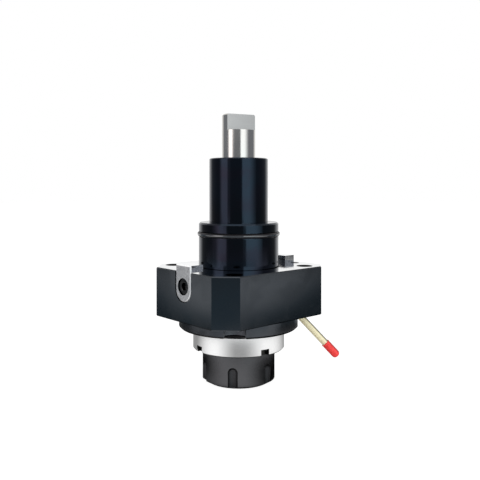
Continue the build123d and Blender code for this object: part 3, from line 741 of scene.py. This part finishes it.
FINISHES: dict[str, Finish] = {
    "black_oxide_steel": OxideFinish("black_oxide", (0.0148, 0.0208, 0.0298), 0.10),
    "spindle_steel": SpindleFinish(
        "ground_spindle", (0.54, 0.52, 0.49), 0.16, 3600.0, 0.0000010, 0.1
    ),
    "cover_steel": ShadedRecessFinish(
        "turned_bright", (0.84, 0.84, 0.84), 0.11, 2600.0, 0.000001, 0.06, 0.02, 0.75
    ),
    "nut_steel": ShadedRecessFinish(
        "dark_satin_nut",
        (0.120, 0.120, 0.126),
        0.28,
        2200.0,
        0.000003,
        0.2,
        stretch=0.0,
        wear=0.22,
        worn_colour=(0.34, 0.34, 0.34),
        inner_radius=0.0246,
        recess_painted_shade=(0.050, 0.050, 0.053),
        recess_roughness=0.5,
    ),
    "key_steel": KeyFinish("ground_key", (0.62, 0.62, 0.625), 0.42),
    "ground_steel": LatheFinish("ground_steel", (0.6, 0.6, 0.61), 0.25),
    "collet_steel": LatheFinish("ground_collet", (0.55, 0.55, 0.56), 0.24, 3400.0, 0.0000015),
    "bearing_steel": LatheFinish(
        "polished_bearing", (0.62, 0.62, 0.64), 0.12, 4200.0, 0.0000006, 0.06
    ),
    "cage_steel": LatheFinish("pressed_cage", (0.45, 0.40, 0.32), 0.38, 900.0),
    "nozzle_steel": LatheFinish("turned_nozzle", (0.30, 0.30, 0.31), 0.30, 2600.0, 0.000003),
    "screw_steel": LatheFinish(
        "black_screw",
        (0.03, 0.03, 0.032),
        0.30,
        2600.0,
        ring_contrast=0.2,
        wear=0.4,
        worn_colour=(0.2, 0.2, 0.2),
    ),
    "tube_brass": TubeFinish("drawn_tube", (1.0, 0.89, 0.58), 0.45),
    "seal_rubber": RubberFinish("black_rubber", (0.004, 0.004, 0.006), 0.3),
    "cap_plastic": PlasticFinish("red_plastic", (1.0, 0.05, 0.045), 0.5),
}


# Turned meshes


class Station(NamedTuple):
    """A point of a turned outline, in millimetres, and what the surface carries from there on."""

    radius: float
    height: float
    form: Form = Form.PLAIN


def stations(*points: Sequence[Any]) -> list[Station]:
    """The stations at a row of points, each a radius, a height and perhaps a form."""
    return [Station(*point) for point in points]


def arc(centre: Pair, radius: float, start: float, end: float, steps: int) -> list[Station]:
    """A round stretch of an outline.

    Args:
        centre: its radius and height, in millimetres.
        radius: the arc's own radius.
        start: the first angle, from the radial direction, in degrees.
        end: the last angle.
        steps: how many chords.

    Returns:
        The stations along the arc.
    """
    angles = [math.radians(start + (end - start) * k / steps) for k in range(steps + 1)]
    return [
        Station(max(centre[0] + radius * math.cos(a), 0.0), centre[1] + radius * math.sin(a))
        for a in angles
    ]


@dataclass(frozen=True)
class Thread:
    """A right-hand screw thread with flanks at sixty degrees, in millimetres."""

    pitch: float
    depth: float
    rows_per_pitch: int = 12
    crest: float = 0.125
    root: float = 0.25
    run_out: float = 1.6

    def sink(self, height: float, angle: float) -> float:
        """How deep the thread is under its crest, at a height and an angle round the axis."""
        turn = height / self.pitch - angle / math.tau
        wave = abs(turn - math.floor(turn) - 0.5) * 2.0
        flank = 1.0 - self.crest - self.root
        return self.depth * min(max((wave - self.crest) / flank, 0.0), 1.0)


@dataclass(frozen=True)
class Turning:
    """Makes the mesh of a turned piece from its outline.

    Attributes:
        outline: the stations, from one end of the axis to the other, or a ring that is closed.
        columns: how many steps there are round the axis.
        thread: the thread on its threaded stretches.
        knurls: how many grooves a knurled stretch has.
        knurl_depth: how deep they are, in millimetres.
        across_flats: the width of a hexagon, or of a pair of flats, in millimetres.
        flat_heading: which way the first flat looks, in degrees.
        closed: whether the last station joins the first.
        sharp_angle: the least angle, in degrees, at which an edge isn't smoothed.
    """

    outline: Sequence[Station]
    columns: int = 96
    thread: Thread | None = None
    knurls: int = 0
    knurl_depth: float = 0.0
    across_flats: float = 0.0
    flat_heading: float = 0.0
    closed: bool = False
    sharp_angle: float = 28.0

    def angles(self) -> list[float]:
        """The directions of the columns, with one on each corner of the flats."""
        steps = [math.tau * k / self.columns for k in range(self.columns)]
        heading = math.radians(self.flat_heading)
        for radius in {s.radius for s in self.outline if s.form is Form.FLATS}:
            corner = math.acos(self.across_flats / 2 / radius)
            turns = (corner, math.pi - corner, math.pi + corner, -corner)
            steps += [(heading + turn) % math.tau for turn in turns]
        return sorted(steps)

    def rows(self) -> list[tuple[float, float, Form, float]]:
        """The rows down the outline, close together where there is a thread.

        Returns:
            Radius, height, form and how much of the thread's depth each row has.
        """
        rows = []
        for here, after in zip(self.outline, [*self.outline[1:], None]):
            rows.append((*here, 0.0))
            if here.form is not Form.THREAD or after is None:
                continue
            pitches = abs(after.height - here.height) / self.thread.pitch
            count = max(int(pitches * self.thread.rows_per_pitch), 2)
            for k in range(1, count):
                share = k / count
                run = min(share, 1.0 - share) * pitches
                radius = here.radius + (after.radius - here.radius) * share
                height = here.height + (after.height - here.height) * share
                rows.append((radius, height, Form.THREAD, min(run * self.thread.run_out, 1.0)))
        return rows

    def point(self, row: tuple[float, float, Form, float], angle: float) -> Vector:
        """Where a row crosses the column at an angle, in metres."""
        radius, height, form, share = row
        if form is Form.THREAD:
            radius -= share * self.thread.sink(height, angle)
        elif form is Form.KNURL:
            wave = abs((angle * self.knurls / math.tau) % 1.0 - 0.5) * 2.0
            radius -= self.knurl_depth * (1.0 - wave)
        elif form is Form.HEXAGON:
            sixth = math.pi / 3
            radius = self.across_flats / 2 / math.cos((angle + sixth / 2) % sixth - sixth / 2)
        place = Vector((math.cos(angle), math.sin(angle), 0.0)) * radius
        if form is Form.FLATS:
            across = level(self.flat_heading)
            reach = place.dot(across)
            half = self.across_flats / 2
            place += across * (min(max(reach, -half), half) - reach)
        return (place + Vector((0.0, 0.0, height))) * MM

    def mesh(self, name: str) -> bpy.types.Mesh:
        """Builds the mesh, smooth-shaded, with its edges sharp where the outline turns."""
        made = bmesh.new()
        angles = self.angles()
        rings: list[list[bmesh.types.BMVert]] = []
        for row in self.rows():
            around = angles if row[0] else [0.0]
            rings.append([made.verts.new(self.point(row, angle)) for angle in around])
        pairs = list(zip(rings, rings[1:]))
        if self.closed:
            pairs.append((rings[-1], rings[0]))
        count = len(angles)
        for upper, lower in pairs:
            for k in range(count):
                after = (k + 1) % count
                loop = [upper[k % len(upper)], upper[after % len(upper)]]
                loop += [lower[after % len(lower)], lower[k % len(lower)]]
                made.faces.new(list(dict.fromkeys(loop)))
        bmesh.ops.remove_doubles(made, verts=made.verts, dist=1e-8)
        bmesh.ops.dissolve_degenerate(made, edges=made.edges, dist=1e-8)
        bmesh.ops.recalc_face_normals(made, faces=made.faces)
        for face in made.faces:
            face.smooth = True
        mesh = bpy.data.meshes.new(name)
        made.to_mesh(mesh)
        made.free()
        mesh.set_sharp_from_angle(angle=math.radians(self.sharp_angle))
        return mesh


# Sub-assemblies


class Workshop:
    """Paints pieces, and places the finer ones on their body in place of their CAD nodes."""

    def __init__(self) -> None:
        """Starts with no material built."""
        self.made: dict[str, bpy.types.Material] = {}

    def paint(self, piece: bpy.types.Object, slot: str) -> None:
        """Puts the finish of a material slot on a piece. Each finish is built once."""
        if slot not in self.made:
            self.made[slot] = FINISHES[slot].material()
        if not piece.material_slots:
            piece.data.materials.append(None)
        for place in piece.material_slots:
            place.material = self.made[slot]
        piece.visible_glossy = piece.name not in UNMIRRORED
        LOG.info("%s wears %s", piece.name, slot)

    def place(
        self, mesh: bpy.types.Mesh, body: str, slot: str, *nodes: str, seat: Matrix | None = None
    ) -> bpy.types.Object:
        """Makes the object for a mesh.

        Args:
            mesh: the piece's mesh, in its own frame.
            body: the body that it rides on.
            slot: the record's name of its material slot.
            *nodes: the CAD nodes that it stands for.
            seat: where its own frame lies in the holder's frame.

        Returns:
            The placed piece.
        """
        piece = bpy.data.objects.new(mesh.name, mesh)
        bpy.context.scene.collection.objects.link(piece)
        if seat is not None:
            piece.matrix_world = seat
        self.paint(piece, slot)
        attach(piece, body)
        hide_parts(*nodes)
        LOG.info("%s rides %s with %d faces", piece.name, body, len(mesh.polygons))
        return piece


@dataclass(frozen=True)
class DriveSpindle:
    """The ground spindle: threaded nose with its taper, bearing seats, shaft and driving tang."""

    top: float = 104.0
    tail_radius: float = 11.45
    tail_chamfer: float = 0.8
    tail_step: float = 67.3
    shaft_radius: float = 12.5
    shaft_bottom: float = 8.8
    locknut_radius: float = 16.5
    locknut_top: float = 3.8
    locknut_chamfer: float = 1.0
    seat_radius: float = 17.48
    seat_top: float = -5.2
    seat_bottom: float = -33.2
    collar_radius: float = 21.0
    collar_bottom: float = -55.4
    nose_radius: float = 20.0
    nose_bottom: float = -66.9
    nose_chamfer: float = 1.0
    nose_thread: Thread = Thread(pitch=1.5, depth=0.92)
    socket_mouth_radius: float = 16.263
    socket_end_radius: float = 11.962
    socket_end: float = -36.3
    bore_radius: float = 10.5
    bore_end: float = -14.3
    bore_tip: float = -8.3
    tang_width: float = 8.0
    tang_length: float = 11.0
    tang_heading: float = -13.6
    centre_radius: float = 3.0
    centre_pilot_radius: float = 1.0
    centre_pilot_depth: float = 3.4
    edge: float = 0.25
    columns: int = 160

    def centre_hole(self) -> list[Station]:
        """The centre-drilled hole in the tail's end: a pilot hole and a sixty degree cone."""
        pilot = self.centre_pilot_radius
        cone = (self.centre_radius - pilot) * math.sqrt(3.0)
        deep = cone + self.centre_pilot_depth
        return stations(
            (0.0, self.top - deep),
            (pilot, self.top - deep + pilot / 2),
            (pilot, self.top - cone),
            (self.centre_radius, self.top),
        )

    def outline(self) -> list[Station]:
        """The outline from the centre hole down the outside and up the socket."""
        tang = self.top - self.tang_length
        edge = self.edge
        return stations(
            *self.centre_hole(),
            (self.tail_radius - self.tail_chamfer, self.top, Form.FLATS),
            (self.tail_radius, self.top - self.tail_chamfer, Form.FLATS),
            (self.tail_radius, tang, Form.FLATS),
            (self.tail_radius, tang),
            (self.tail_radius, self.tail_step + edge),
            (self.shaft_radius - edge, self.tail_step),
            (self.shaft_radius, self.tail_step - edge),
            (self.shaft_radius, self.shaft_bottom),
            (self.locknut_radius - self.locknut_chamfer, self.locknut_top),
            (self.locknut_radius, self.locknut_top - self.locknut_chamfer),
            (self.locknut_radius, self.seat_top + edge),
            (self.seat_radius - edge, self.seat_top),
            (self.seat_radius, self.seat_top - edge),
            (self.seat_radius, self.seat_bottom),
            (self.collar_radius - edge, self.seat_bottom),
            (self.collar_radius, self.seat_bottom - edge),
            (self.collar_radius, self.collar_bottom + edge),
            (self.collar_radius - edge, self.collar_bottom),
            (self.nose_radius, self.collar_bottom, Form.THREAD),
            (self.nose_radius, self.nose_bottom + self.nose_chamfer),
            (self.nose_radius - self.nose_chamfer, self.nose_bottom),
            (self.socket_mouth_radius + edge, self.nose_bottom),
            (self.socket_mouth_radius, self.nose_bottom + edge),
            (self.socket_end_radius, self.socket_end),
            (self.bore_radius, self.socket_end),
            (self.bore_radius, self.bore_end),
            (0.0, self.bore_tip),
        )

    def build(self, workshop: Workshop) -> None:
        """Makes the spindle."""
        turning = Turning(
            self.outline(),
            columns=self.columns,
            thread=self.nose_thread,
            across_flats=self.tang_width,
            flat_heading=self.tang_heading,
        )
        workshop.place(turning.mesh("ground_spindle"), "drive_spindle", "spindle_steel", "spindle")


@dataclass(frozen=True)
class KeyScrews:
    """The two socket head cap screws that hold the locating keys, M6 by 12.

    The head's rounding is a row of points, each so far in from its side and down from its face.
    """

    head_radius: float = 5.0
    head_height: float = 5.8
    head_face: float = 47.0
    head_rounding: tuple[Pair, ...] = ((0.585, 0.0), (0.18, 0.2025), (0.05, 0.45))
    knurl_top: float = 0.72
    knurl_end: float = 0.3
    head_foot: float = 0.35
    knurls: int = 60
    knurl_depth: float = 0.13
    drop: float = 9.6
    shank_radius: float = 3.0
    shank_length: float = 12.0
    shank_neck: float = 1.2
    shank_chamfer: float = 0.7
    thread: Thread = Thread(pitch=1.0, depth=0.6, rows_per_pitch=8)
    socket_width: float = 5.0
    socket_depth: float = 3.0
    socket_tip: float = 0.9
    socket_foot: Pair = (0.97, 0.1)
    socket_mouth: float = 0.3
    fillet: float = 0.3
    columns: int = 180

    def outline(self) -> list[Station]:
        """The outline from the socket's bottom over the head to the shank's tip."""
        hexagon = self.socket_width / 2
        under = -self.head_height
        tip = under - self.shank_length
        share, down = self.socket_foot
        return stations(
            (0.0, -self.socket_depth - self.socket_tip),
            (hexagon * share, -self.socket_depth - down),
            (hexagon, -self.socket_depth, Form.HEXAGON),
            (hexagon, -self.socket_mouth, Form.HEXAGON),
            (hexagon / math.cos(math.pi / 6) + self.socket_mouth, 0.0),
            *[(self.head_radius - inset, -drop) for inset, drop in self.head_rounding],
            (self.head_radius, -self.knurl_top, Form.KNURL),
            (self.head_radius, under + self.knurl_end, Form.KNURL),
            (self.head_radius - self.head_foot, under),
            (self.shank_radius + self.fillet, under),
            (self.shank_radius, under - self.fillet),
            (self.shank_radius, under - self.shank_neck, Form.THREAD),
            (self.shank_radius, tip + self.shank_chamfer),
            (self.shank_radius - self.shank_chamfer, tip),
            (0.0, tip),
        )

    def build(self, workshop: Workshop) -> None:
        """Makes both screws."""
        turning = Turning(
            self.outline(),
            columns=self.columns,
            thread=self.thread,
            knurls=self.knurls,
            knurl_depth=self.knurl_depth,
            across_flats=self.socket_width,
        )
        for side, name in ((-1, "left_key_screw"), (1, "right_key_screw")):
            out = Vector((0.0, side, 0.0))
            seat = Matrix.Translation(Vector((0.0, side * self.head_face, -self.drop)) * MM)
            seat = seat @ out.to_track_quat("Z", "X").to_matrix().to_4x4()
            workshop.place(turning.mesh(name), "holder", "screw_steel", "key_screws", seat=seat)


@dataclass(frozen=True)
class CoolantTube:
    """The drawn tube of the coolant nozzle and the red cap on its end."""

    ball_centre: tuple[float, float, float] = (16.0, 39.4, -34.1)
    direction: tuple[float, float, float] = (0.455332782, 0.512853655, -0.727772758)
    tube_radius: float = 2.45
    wall: float = 0.7
    tube_length: float = 41.5
    deburr: float = 0.15
    cap_radius: float = 3.05
    cap_start: float = 31.5
    cap_length: float = 12.9
    cap_bore_depth: float = 10.1
    cap_bore_radius: float = 2.47
    cap_sharp_angle: float = 40.0
    mouth_depth: float = 0.25
    mouth_flare: float = 0.15
    lip_rounding: float = 0.2
    bead_height: float = 0.9
    bead_swell: float = 0.13
    bead_rounding: float = 0.35
    bead_sweep: float = 60.0
    bead_foot: float = 0.1
    bead_chords: int = 4
    dome_radius: float = 2.4
    dome_sweep: float = 78.0
    dome_chords: int = 12
    gate_radius: float = 0.45
    gate_height: float = 0.1
    gate_flare: float = 0.08

    def seat(self, along: float) -> Matrix:
        """A frame on the tube's axis, Z along it, so many millimetres from the ball's centre."""
        out = Vector(self.direction)
        start = Vector(self.ball_centre) + out * along
        return Matrix.Translation(start * MM) @ out.to_track_quat("Z", "Y").to_matrix().to_4x4()

    def tube_outline(self) -> list[Station]:
        """The tube's wall, as a closed ring with its ends deburred."""
        outer = self.tube_radius
        inner = outer - self.wall
        small = self.deburr
        end = self.tube_length
        return stations(
            (inner + small, 0.0),
            (inner, small),
            (inner, end - small),
            (inner + small, end),
            (outer - small, end),
            (outer, end - small),
            (outer, small),
            (outer - small, 0.0),
        )

    def cap_outline(self) -> list[Station]:
        """The cap: a bead at its mouth, a straight skirt and a domed end with the mould's gate."""
        skin = self.cap_radius - self.bead_swell
        end = self.cap_length
        lip = self.lip_rounding
        bead = self.bead_rounding
        dome = self.dome_radius
        chords = self.bead_chords
        swell = (self.cap_radius - bead, self.bead_height - bead)
        return stations(
            (0.0, self.cap_bore_depth),
            (self.cap_bore_radius, self.cap_bore_depth),
            (self.cap_bore_radius, self.mouth_depth),
            (self.cap_bore_radius + self.mouth_flare, 0.0),
            *arc((self.cap_radius - lip, lip), lip, -90.0, 0.0, chords),
            *arc(swell, bead, 0.0, self.bead_sweep, chords),
            (skin, self.bead_height + self.bead_foot),
            *arc((skin - dome, end - dome), dome, 0.0, self.dome_sweep, self.dome_chords),
            (self.gate_radius + self.gate_flare, end - self.gate_height),
            (self.gate_radius, end),
            (0.0, end),
        )

    def build(self, workshop: Workshop) -> None:
        """Makes the tube and its cap."""
        tube = Turning(self.tube_outline(), closed=True).mesh("drawn_coolant_tube")
        tube.transform(self.seat(0.0))
        turning = Turning(self.cap_outline(), sharp_angle=self.cap_sharp_angle)
        cap = turning.mesh("moulded_tube_cap")
        cap.transform(self.seat(self.cap_start))
        workshop.place(tube, "nozzle_tube", "tube_brass", "coolant_tube")
        workshop.place(cap, "nozzle_cap", "cap_plastic", "tube_cap")


# Studio


def stand(data: Any, place: Vector, towards: Vector | None = None) -> bpy.types.Object:
    """Puts a lamp or camera in the scene, where the camera doesn't see it.

    Args:
        data: the lamp or camera.
        place: where it stands.
        towards: which way it looks, straight down if left out.

    Returns:
        Its object.
    """
    body = bpy.data.objects.new(data.name, data)
    body.visible_camera = False
    body.location = place
    if towards is not None:
        body.rotation_euler = towards.to_track_quat("-Z", "Y").to_euler()
    bpy.context.scene.collection.objects.link(body)
    return body


@dataclass(frozen=True)
class Window:
    """A soft-edged span of bearings round the holder's axis, in degrees from the camera."""

    start: float
    full: float
    fade: float
    end: float

    def mask(self, board: NodeBoard, bearing: Socket) -> Socket:
        """1 inside the span and 0 outside it."""
        rise = board.map(bearing, self.start, self.full)
        return board.times(rise, board.map(bearing, self.fade, self.end, 1.0, 0.0))


@dataclass(frozen=True)
class Sheet:
    """A white sheet painted into the floor's reflection glow beside the holder, with a soft
    straight edge.

    Attributes:
        side: 1 for the camera's right and -1 for its left.
        slope: how the edge falls back with each metre aside.
        start: where the edge would cross the holder's axis, in metres towards the camera.
        softness: how far the edge fades behind it and in front of it, in metres.
        beside: the bearings between which the sheet begins, in degrees.
    """

    side: float
    slope: float
    start: float
    softness: Pair = (0.036, 0.027)
    beside: Pair = (44.0, 56.0)

    def mask(self, board: NodeBoard, ahead: Socket, aside: Socket, bearing: Socket) -> Socket:
        """1 on the sheet and 0 off it."""
        out = board.times(aside, self.side)
        inside = board.plus(board.times(out, self.slope), board.minus(ahead, self.start))
        on = board.map(inside, -self.softness[0], self.softness[1])
        return board.times(board.map(board.times(bearing, self.side), *self.beside), on)


@dataclass(frozen=True)
class Ring:
    """A ring of the table round the holder's foot, lit in some spans of bearings.

    Attributes:
        step: where the ring begins, in metres from the axis.
        windows: the lit spans.
        gain: how bright they are.
        base: how bright it is between them.
    """

    step: Pair
    windows: Sequence[Window]
    gain: float = 1.0
    base: float = 0.0

    def level(self, board: NodeBoard, bearing: Socket) -> Socket:
        """How bright the ring is at a bearing."""
        lit = 0.0
        for window in self.windows:
            lit = board.plus(window.mask(board, bearing), lit)
        return board.plus(board.times(lit, self.gain), self.base)


NUT_RING = Ring((0.028, 0.033), [Window(-112.0, -12.0, 0.0, 74.0)])
COVER_RING = Ring(
    (0.092, 0.104),
    [Window(-122.0, -60.0, -54.0, -2.0), Window(7.0, 66.0, 76.0, 150.0)],
    gain=0.86,
    base=0.335,
)
BOSS_RING = Ring((0.168, 0.182), [Window(-70.0, 2.0, 26.0, 84.0)], gain=1.3, base=0.04)


@dataclass(frozen=True)
class Table:
    """How bright the table looks in the holder's polished faces.

    White sheets lie left and right with soft edges, it is white behind and dim far off, and the
    nut, the cover ring and the boss each mirror a ring round the foot. The steps are distances
    from the axis in metres, or bearings from the camera in degrees.
    """

    sheets: tuple[Sheet, Sheet] = (Sheet(1.0, 0.213, 0.1252), Sheet(-1.0, 0.377, 0.0989))
    sheet_level: float = 1.62
    shaded_level: float = 0.648
    shade_step: Pair = (0.25, 0.335)
    aside_step: Pair = (44.0, 56.0)
    front_level: float = 0.42
    aside_level: float = 0.16
    far_step: Pair = (0.60, 0.68)
    far_level: float = 0.22
    white_step: Pair = (120.0, 138.0)
    behind_step: Pair = (148.0, 176.0)
    behind_level: float = 0.95
    foot_level: float = 0.04
    rings: tuple[Ring, ...] = (NUT_RING, COVER_RING, BOSS_RING)
    flange_step: Pair = (0.205, 0.235)

    def beyond(self, board: NodeBoard, reach: Socket, *view: Socket) -> Socket:
        """How bright it is where the flange and the shank look, away from the foot."""
        away = board.size(view[2])
        sheets = board.sum("MAXIMUM", *[sheet.mask(board, *view) for sheet in self.sheets])
        dim = board.map(away, *self.aside_step, self.front_level, self.aside_level)
        near = board.map(reach, *self.shade_step, self.shaded_level, self.sheet_level)
        lit = board.between(sheets, dim, near)
        far = board.between(board.map(reach, *self.far_step), lit, self.far_level)
        return board.between(board.map(away, *self.white_step), far, 1.0)

    def foot(self, board: NodeBoard, reach: Socket, bearing: Socket) -> Socket:
        """How bright it is round the foot."""
        glow = self.foot_level
        for ring in self.rings:
            glow = board.between(board.map(reach, *ring.step), glow, ring.level(board, bearing))
        behind = board.map(board.size(bearing), *self.behind_step)
        return board.between(behind, glow, self.behind_level)

    def levels(self, board: NodeBoard, *view: Socket) -> tuple[Socket, Socket]:
        """The table's brightness, and 1 where the flange's faces don't look.

        Args:
            board: the floor's node tree.
            *view: how far a point is towards the camera and aside, and its bearing.

        Returns:
            The sockets of the two.
        """
        squares = [board.sum("POWER", part, 2.0) for part in view[:2]]
        reach = board.sum("SQRT", board.plus(*squares))
        outside = board.map(reach, *self.flange_step)
        far = board.map(reach, *self.far_step)
        elsewhere = board.sum("MAXIMUM", far, board.minus(1.0, outside))
        foot = self.foot(board, reach, view[2])
        return board.between(outside, foot, self.beyond(board, reach, *view)), elsewhere


@dataclass(frozen=True)
class Softbox:
    """An upright lamp that looks at the holder's axis and fades towards its two sides.

    Only the polished shank mirrors its lowest part, which has its own tint up to low_end. Up to
    shift_end that part also lies aside. Both are shares of the lamp's height, and the fades and
    the shift are shares of its width.
    """

    name: str
    bearing: float
    width: float
    radiance: float
    tint: Colour
    left_fade: float
    right_fade: float
    low_tint: Colour
    low_shift: float
    glowing: float = 1.0
    distance: float = 0.60
    bottom: float = -0.078
    top: float = 0.50
    low_end: float = 0.311
    shift_end: float = 0.124
    softness: float = 0.006
    edge_glow: float = 0.12

    def glow(self, board: NodeBoard) -> None:
        """Adds the nodes of the lamp's face."""
        place = board.add("NewGeometry").outputs["Parametric"]
        side, height, _ = board.split(place)
        low = board.map(height, self.low_end - self.softness, self.low_end, 1.0, 0.0)
        shift_start = self.shift_end - self.softness
        shift = board.map(height, shift_start, self.shift_end, self.low_shift, 0.0)
        side = board.minus(side, shift)
        left = board.map(side, 0.0, self.left_fade, self.edge_glow, 1.0)
        right = board.map(side, self.glowing - self.right_fade, self.glowing, 1.0, self.edge_glow)
        tone = board.blend(low, WHITE, self.low_tint)
        glow = board.add("Emission", {"Color": tone, "Strength": board.times(left, right)})
        board.add("OutputLight", {"Surface": glow.outputs[0]})

    def light(self, camera_bearing: float) -> None:
        """Makes the lamp, with its bearing counted from the camera's, in degrees."""
        height = self.top - self.bottom
        lamp = bpy.data.lights.new(self.name, "AREA")
        lamp.shape = "RECTANGLE"
        lamp.size = self.width
        lamp.size_y = height
        lamp.energy = self.radiance * math.pi * self.width * height
        lamp.color = self.tint
        self.glow(board_of(lamp))
        out = level(camera_bearing + self.bearing)
        middle = Vector((0.0, 0.0, (self.bottom + self.top) / 2))
        stand(lamp, out * self.distance + middle, -out)
        LOG.info("lamp %s", self.name)


LEFT_SOFTBOX = Softbox(
    "left_softbox",
    bearing=-54.8,
    width=0.50,
    radiance=2.4,
    tint=WHITE,
    left_fade=0.296,
    right_fade=0.062,
    low_tint=(0.657, 0.548, 0.581),
    low_shift=0.2,
    glowing=0.78,
)
RIGHT_SOFTBOX = Softbox(
    "right_softbox",
    bearing=41.0,
    width=0.66,
    radiance=1.7,
    tint=(0.98, 1.0, 1.02),
    left_fade=0.06,
    right_fade=0.58,
    low_tint=(0.94, 1.11, 1.11),
    low_shift=0.13,
)


@dataclass
class Studio:
    """Floor, backdrop, lamps and the camera of the photograph."""

    camera_bearing: float = -41.56
    camera_distance: float = 0.42727
    camera_height: float = 0.05587
    focal_pixels: float = 618.69
    picture_pixels: float = 480.0
    centre_x_pixels: float = 238.63
    centre_y_pixels: float = 184.41
    sensor: float = 36.0
    clip_start: float = 0.01
    clip_end: float = 20.0
    floor_height: float = -0.0784
    floor_size: float = 8.0
    floor_tone: float = 0.90
    shadow_tone: float = 0.20
    floor_glow: float = 0.93
    shade_tone: Colour = (0.68, 1.0, 1.22)
    shade_tone_step: Pair = (0.3, 0.9)
    sheet_step: Pair = (122.0, 140.0)
    ceiling_step: Pair = (0.16, 0.36)
    ceiling_level: float = 0.75
    fill_level: float = 0.66
    room_colour: Colour = (0.255, 0.275, 0.31)
    top_size: float = 0.7
    top_radiance: float = 0.9
    top_height: float = 0.85
    table: Table = field(default_factory=Table)
    lamps: tuple[Softbox, ...] = (LEFT_SOFTBOX, RIGHT_SOFTBOX)

    def camera(self) -> None:
        """Makes the camera at the photograph's place."""
        lens = bpy.data.cameras.new("photo_camera")
        lens.sensor_width = self.sensor
        lens.lens = self.focal_pixels / self.picture_pixels * self.sensor
        half = self.picture_pixels / 2
        lens.shift_x = (half - self.centre_x_pixels) / self.picture_pixels
        lens.shift_y = (self.centre_y_pixels - half) / self.picture_pixels
        lens.clip_start = self.clip_start
        lens.clip_end = self.clip_end
        out = level(self.camera_bearing)
        up = Vector((0.0, 0.0, self.camera_height))
        bpy.context.scene.camera = stand(lens, out * self.camera_distance + up, -out)

    def top_light(self) -> None:
        """Makes the broad lamp overhead."""
        lamp = bpy.data.lights.new("top_softbox", "AREA")
        lamp.shape = "SQUARE"
        lamp.size = self.top_size
        lamp.energy = self.top_radiance * math.pi * self.top_size**2
        stand(lamp, Vector((0.0, 0.0, self.top_height)))

    def view(self, board: NodeBoard, place: Socket) -> tuple[Socket, Socket, Socket]:
        """Where a point or direction lies, as seen from above the holder's axis.

        Args:
            board: the node tree.
            place: the point or direction.

        Returns:
            How far it is towards the photograph's camera and to its right, and the bearing from
            the camera in degrees.
        """
        out = level(self.camera_bearing)
        ahead = board.vector("DOT_PRODUCT", place, out)
        aside = board.vector("DOT_PRODUCT", place, Vector((-out.y, out.x, 0.0)))
        bearing = board.times(board.sum("ARCTAN2", aside, ahead), math.degrees(1.0))
        return ahead, aside, bearing

    def reflected(self, board: NodeBoard, path: Any) -> Socket:
        """1 for rays that come from a mirror or glass."""
        return board.sum("MAXIMUM", path[RayKind.GLOSSY.value], path[RayKind.TRANSMISSION.value])

    def floor_material(self) -> bpy.types.Material:
        """The floor: white to the camera but for the holder's soft shadow, clear from below, and
        glowing with the table's painted pattern in the holder's reflections.
        """
        made = bpy.data.materials.new("pale_floor")
        board = board_of(made)
        pale, shadowed = [
            board.add("BsdfDiffuse", {"Color": scaled(WHITE, tone)}).outputs[0]
            for tone in (self.floor_tone, self.shadow_tone)
        ]
        glow = board.add("Emission", {"Color": WHITE, "Strength": self.floor_glow}).outputs[0]
        seen = board.add("AddShader", {0: shadowed, 1: glow}).outputs[0]
        geometry = board.add("NewGeometry").outputs
        brightness, elsewhere = self.table.levels(board, *self.view(board, geometry["Position"]))
        plain = board.sum("MAXIMUM", board.map(brightness, *self.shade_tone_step), elsewhere)
        tone = board.blend(plain, self.shade_tone, WHITE)
        mirrored = board.add("Emission", {"Color": tone, "Strength": brightness}).outputs[0]
        path = board.add("LightPath").outputs
        to_camera = path[RayKind.CAMERA.value]
        unseen = board.cover(self.reflected(board, path), pale, mirrored)
        above = board.cover(to_camera, unseen, seen)
        underside = board.times(geometry["Backfacing"], to_camera)
        clear = board.add("BsdfTransparent").outputs[0]
        board.add("OutputMaterial", {"Surface": board.cover(underside, above, clear)})
        return made

    def floor(self) -> None:
        """Makes the floor.

        The holder stands on its nut, so the floor stays under the collet and nut as they move.
        """
        half = self.floor_size / 2
        rim = ((-half, -half), (half, -half), (half, half), (-half, half))
        mesh = bpy.data.meshes.new("floor")
        mesh.from_pydata([(x, y, self.floor_height) for x, y in rim], [], [(0, 1, 2, 3)])
        mesh.materials.append(self.floor_material())
        body = bpy.data.objects.new("floor", mesh)
        bpy.context.scene.collection.objects.link(body)
        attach(body, "clamping_collet")

    def backdrop(self) -> None:
        """Makes the world: white behind the holder, a dim room behind the camera."""
        world = bpy.data.worlds.new("studio")
        board = board_of(world)
        place = board.add("TexCoord").outputs["Generated"]
        away = board.size(self.view(board, place)[2])
        upper = board.map(board.split(place)[2], *self.ceiling_step)
        walls = board.blend(upper, self.room_colour, scaled(WHITE, self.ceiling_level))
        room = board.blend(board.map(away, *self.sheet_step), walls, WHITE)
        path = board.add("LightPath").outputs
        fill = board.blend(self.reflected(board, path), scaled(WHITE, self.fill_level), room)
        seen = board.blend(path[RayKind.CAMERA.value], fill, WHITE)
        light = board.add("Background", {"Color": seen, "Strength": 1.0}).outputs[0]
        board.add("OutputWorld", {"Surface": light})
        bpy.context.scene.world = world

    def build(self) -> None:
        """Sets up everything that isn't the holder."""
        bpy.context.scene.view_settings.view_transform = "Standard"
        self.camera()
        self.backdrop()
        self.floor()
        self.top_light()
        for lamp in self.lamps:
            lamp.light(self.camera_bearing)


def main() -> None:
    """Builds the scene around the frame."""
    logging.basicConfig(level=logging.INFO, format="%(message)s")
    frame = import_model()
    workshop = Workshop()
    slots = {part["node"]: part["material_slot"] for part in frame["record"]["subparts"]}
    for name, piece in frame["nodes"].items():
        workshop.paint(piece, slots[name])
    for assembly in (DriveSpindle(), KeyScrews(), CoolantTube()):
        assembly.build(workshop)
    Studio().build()


if __name__ == "__main__":
    main()
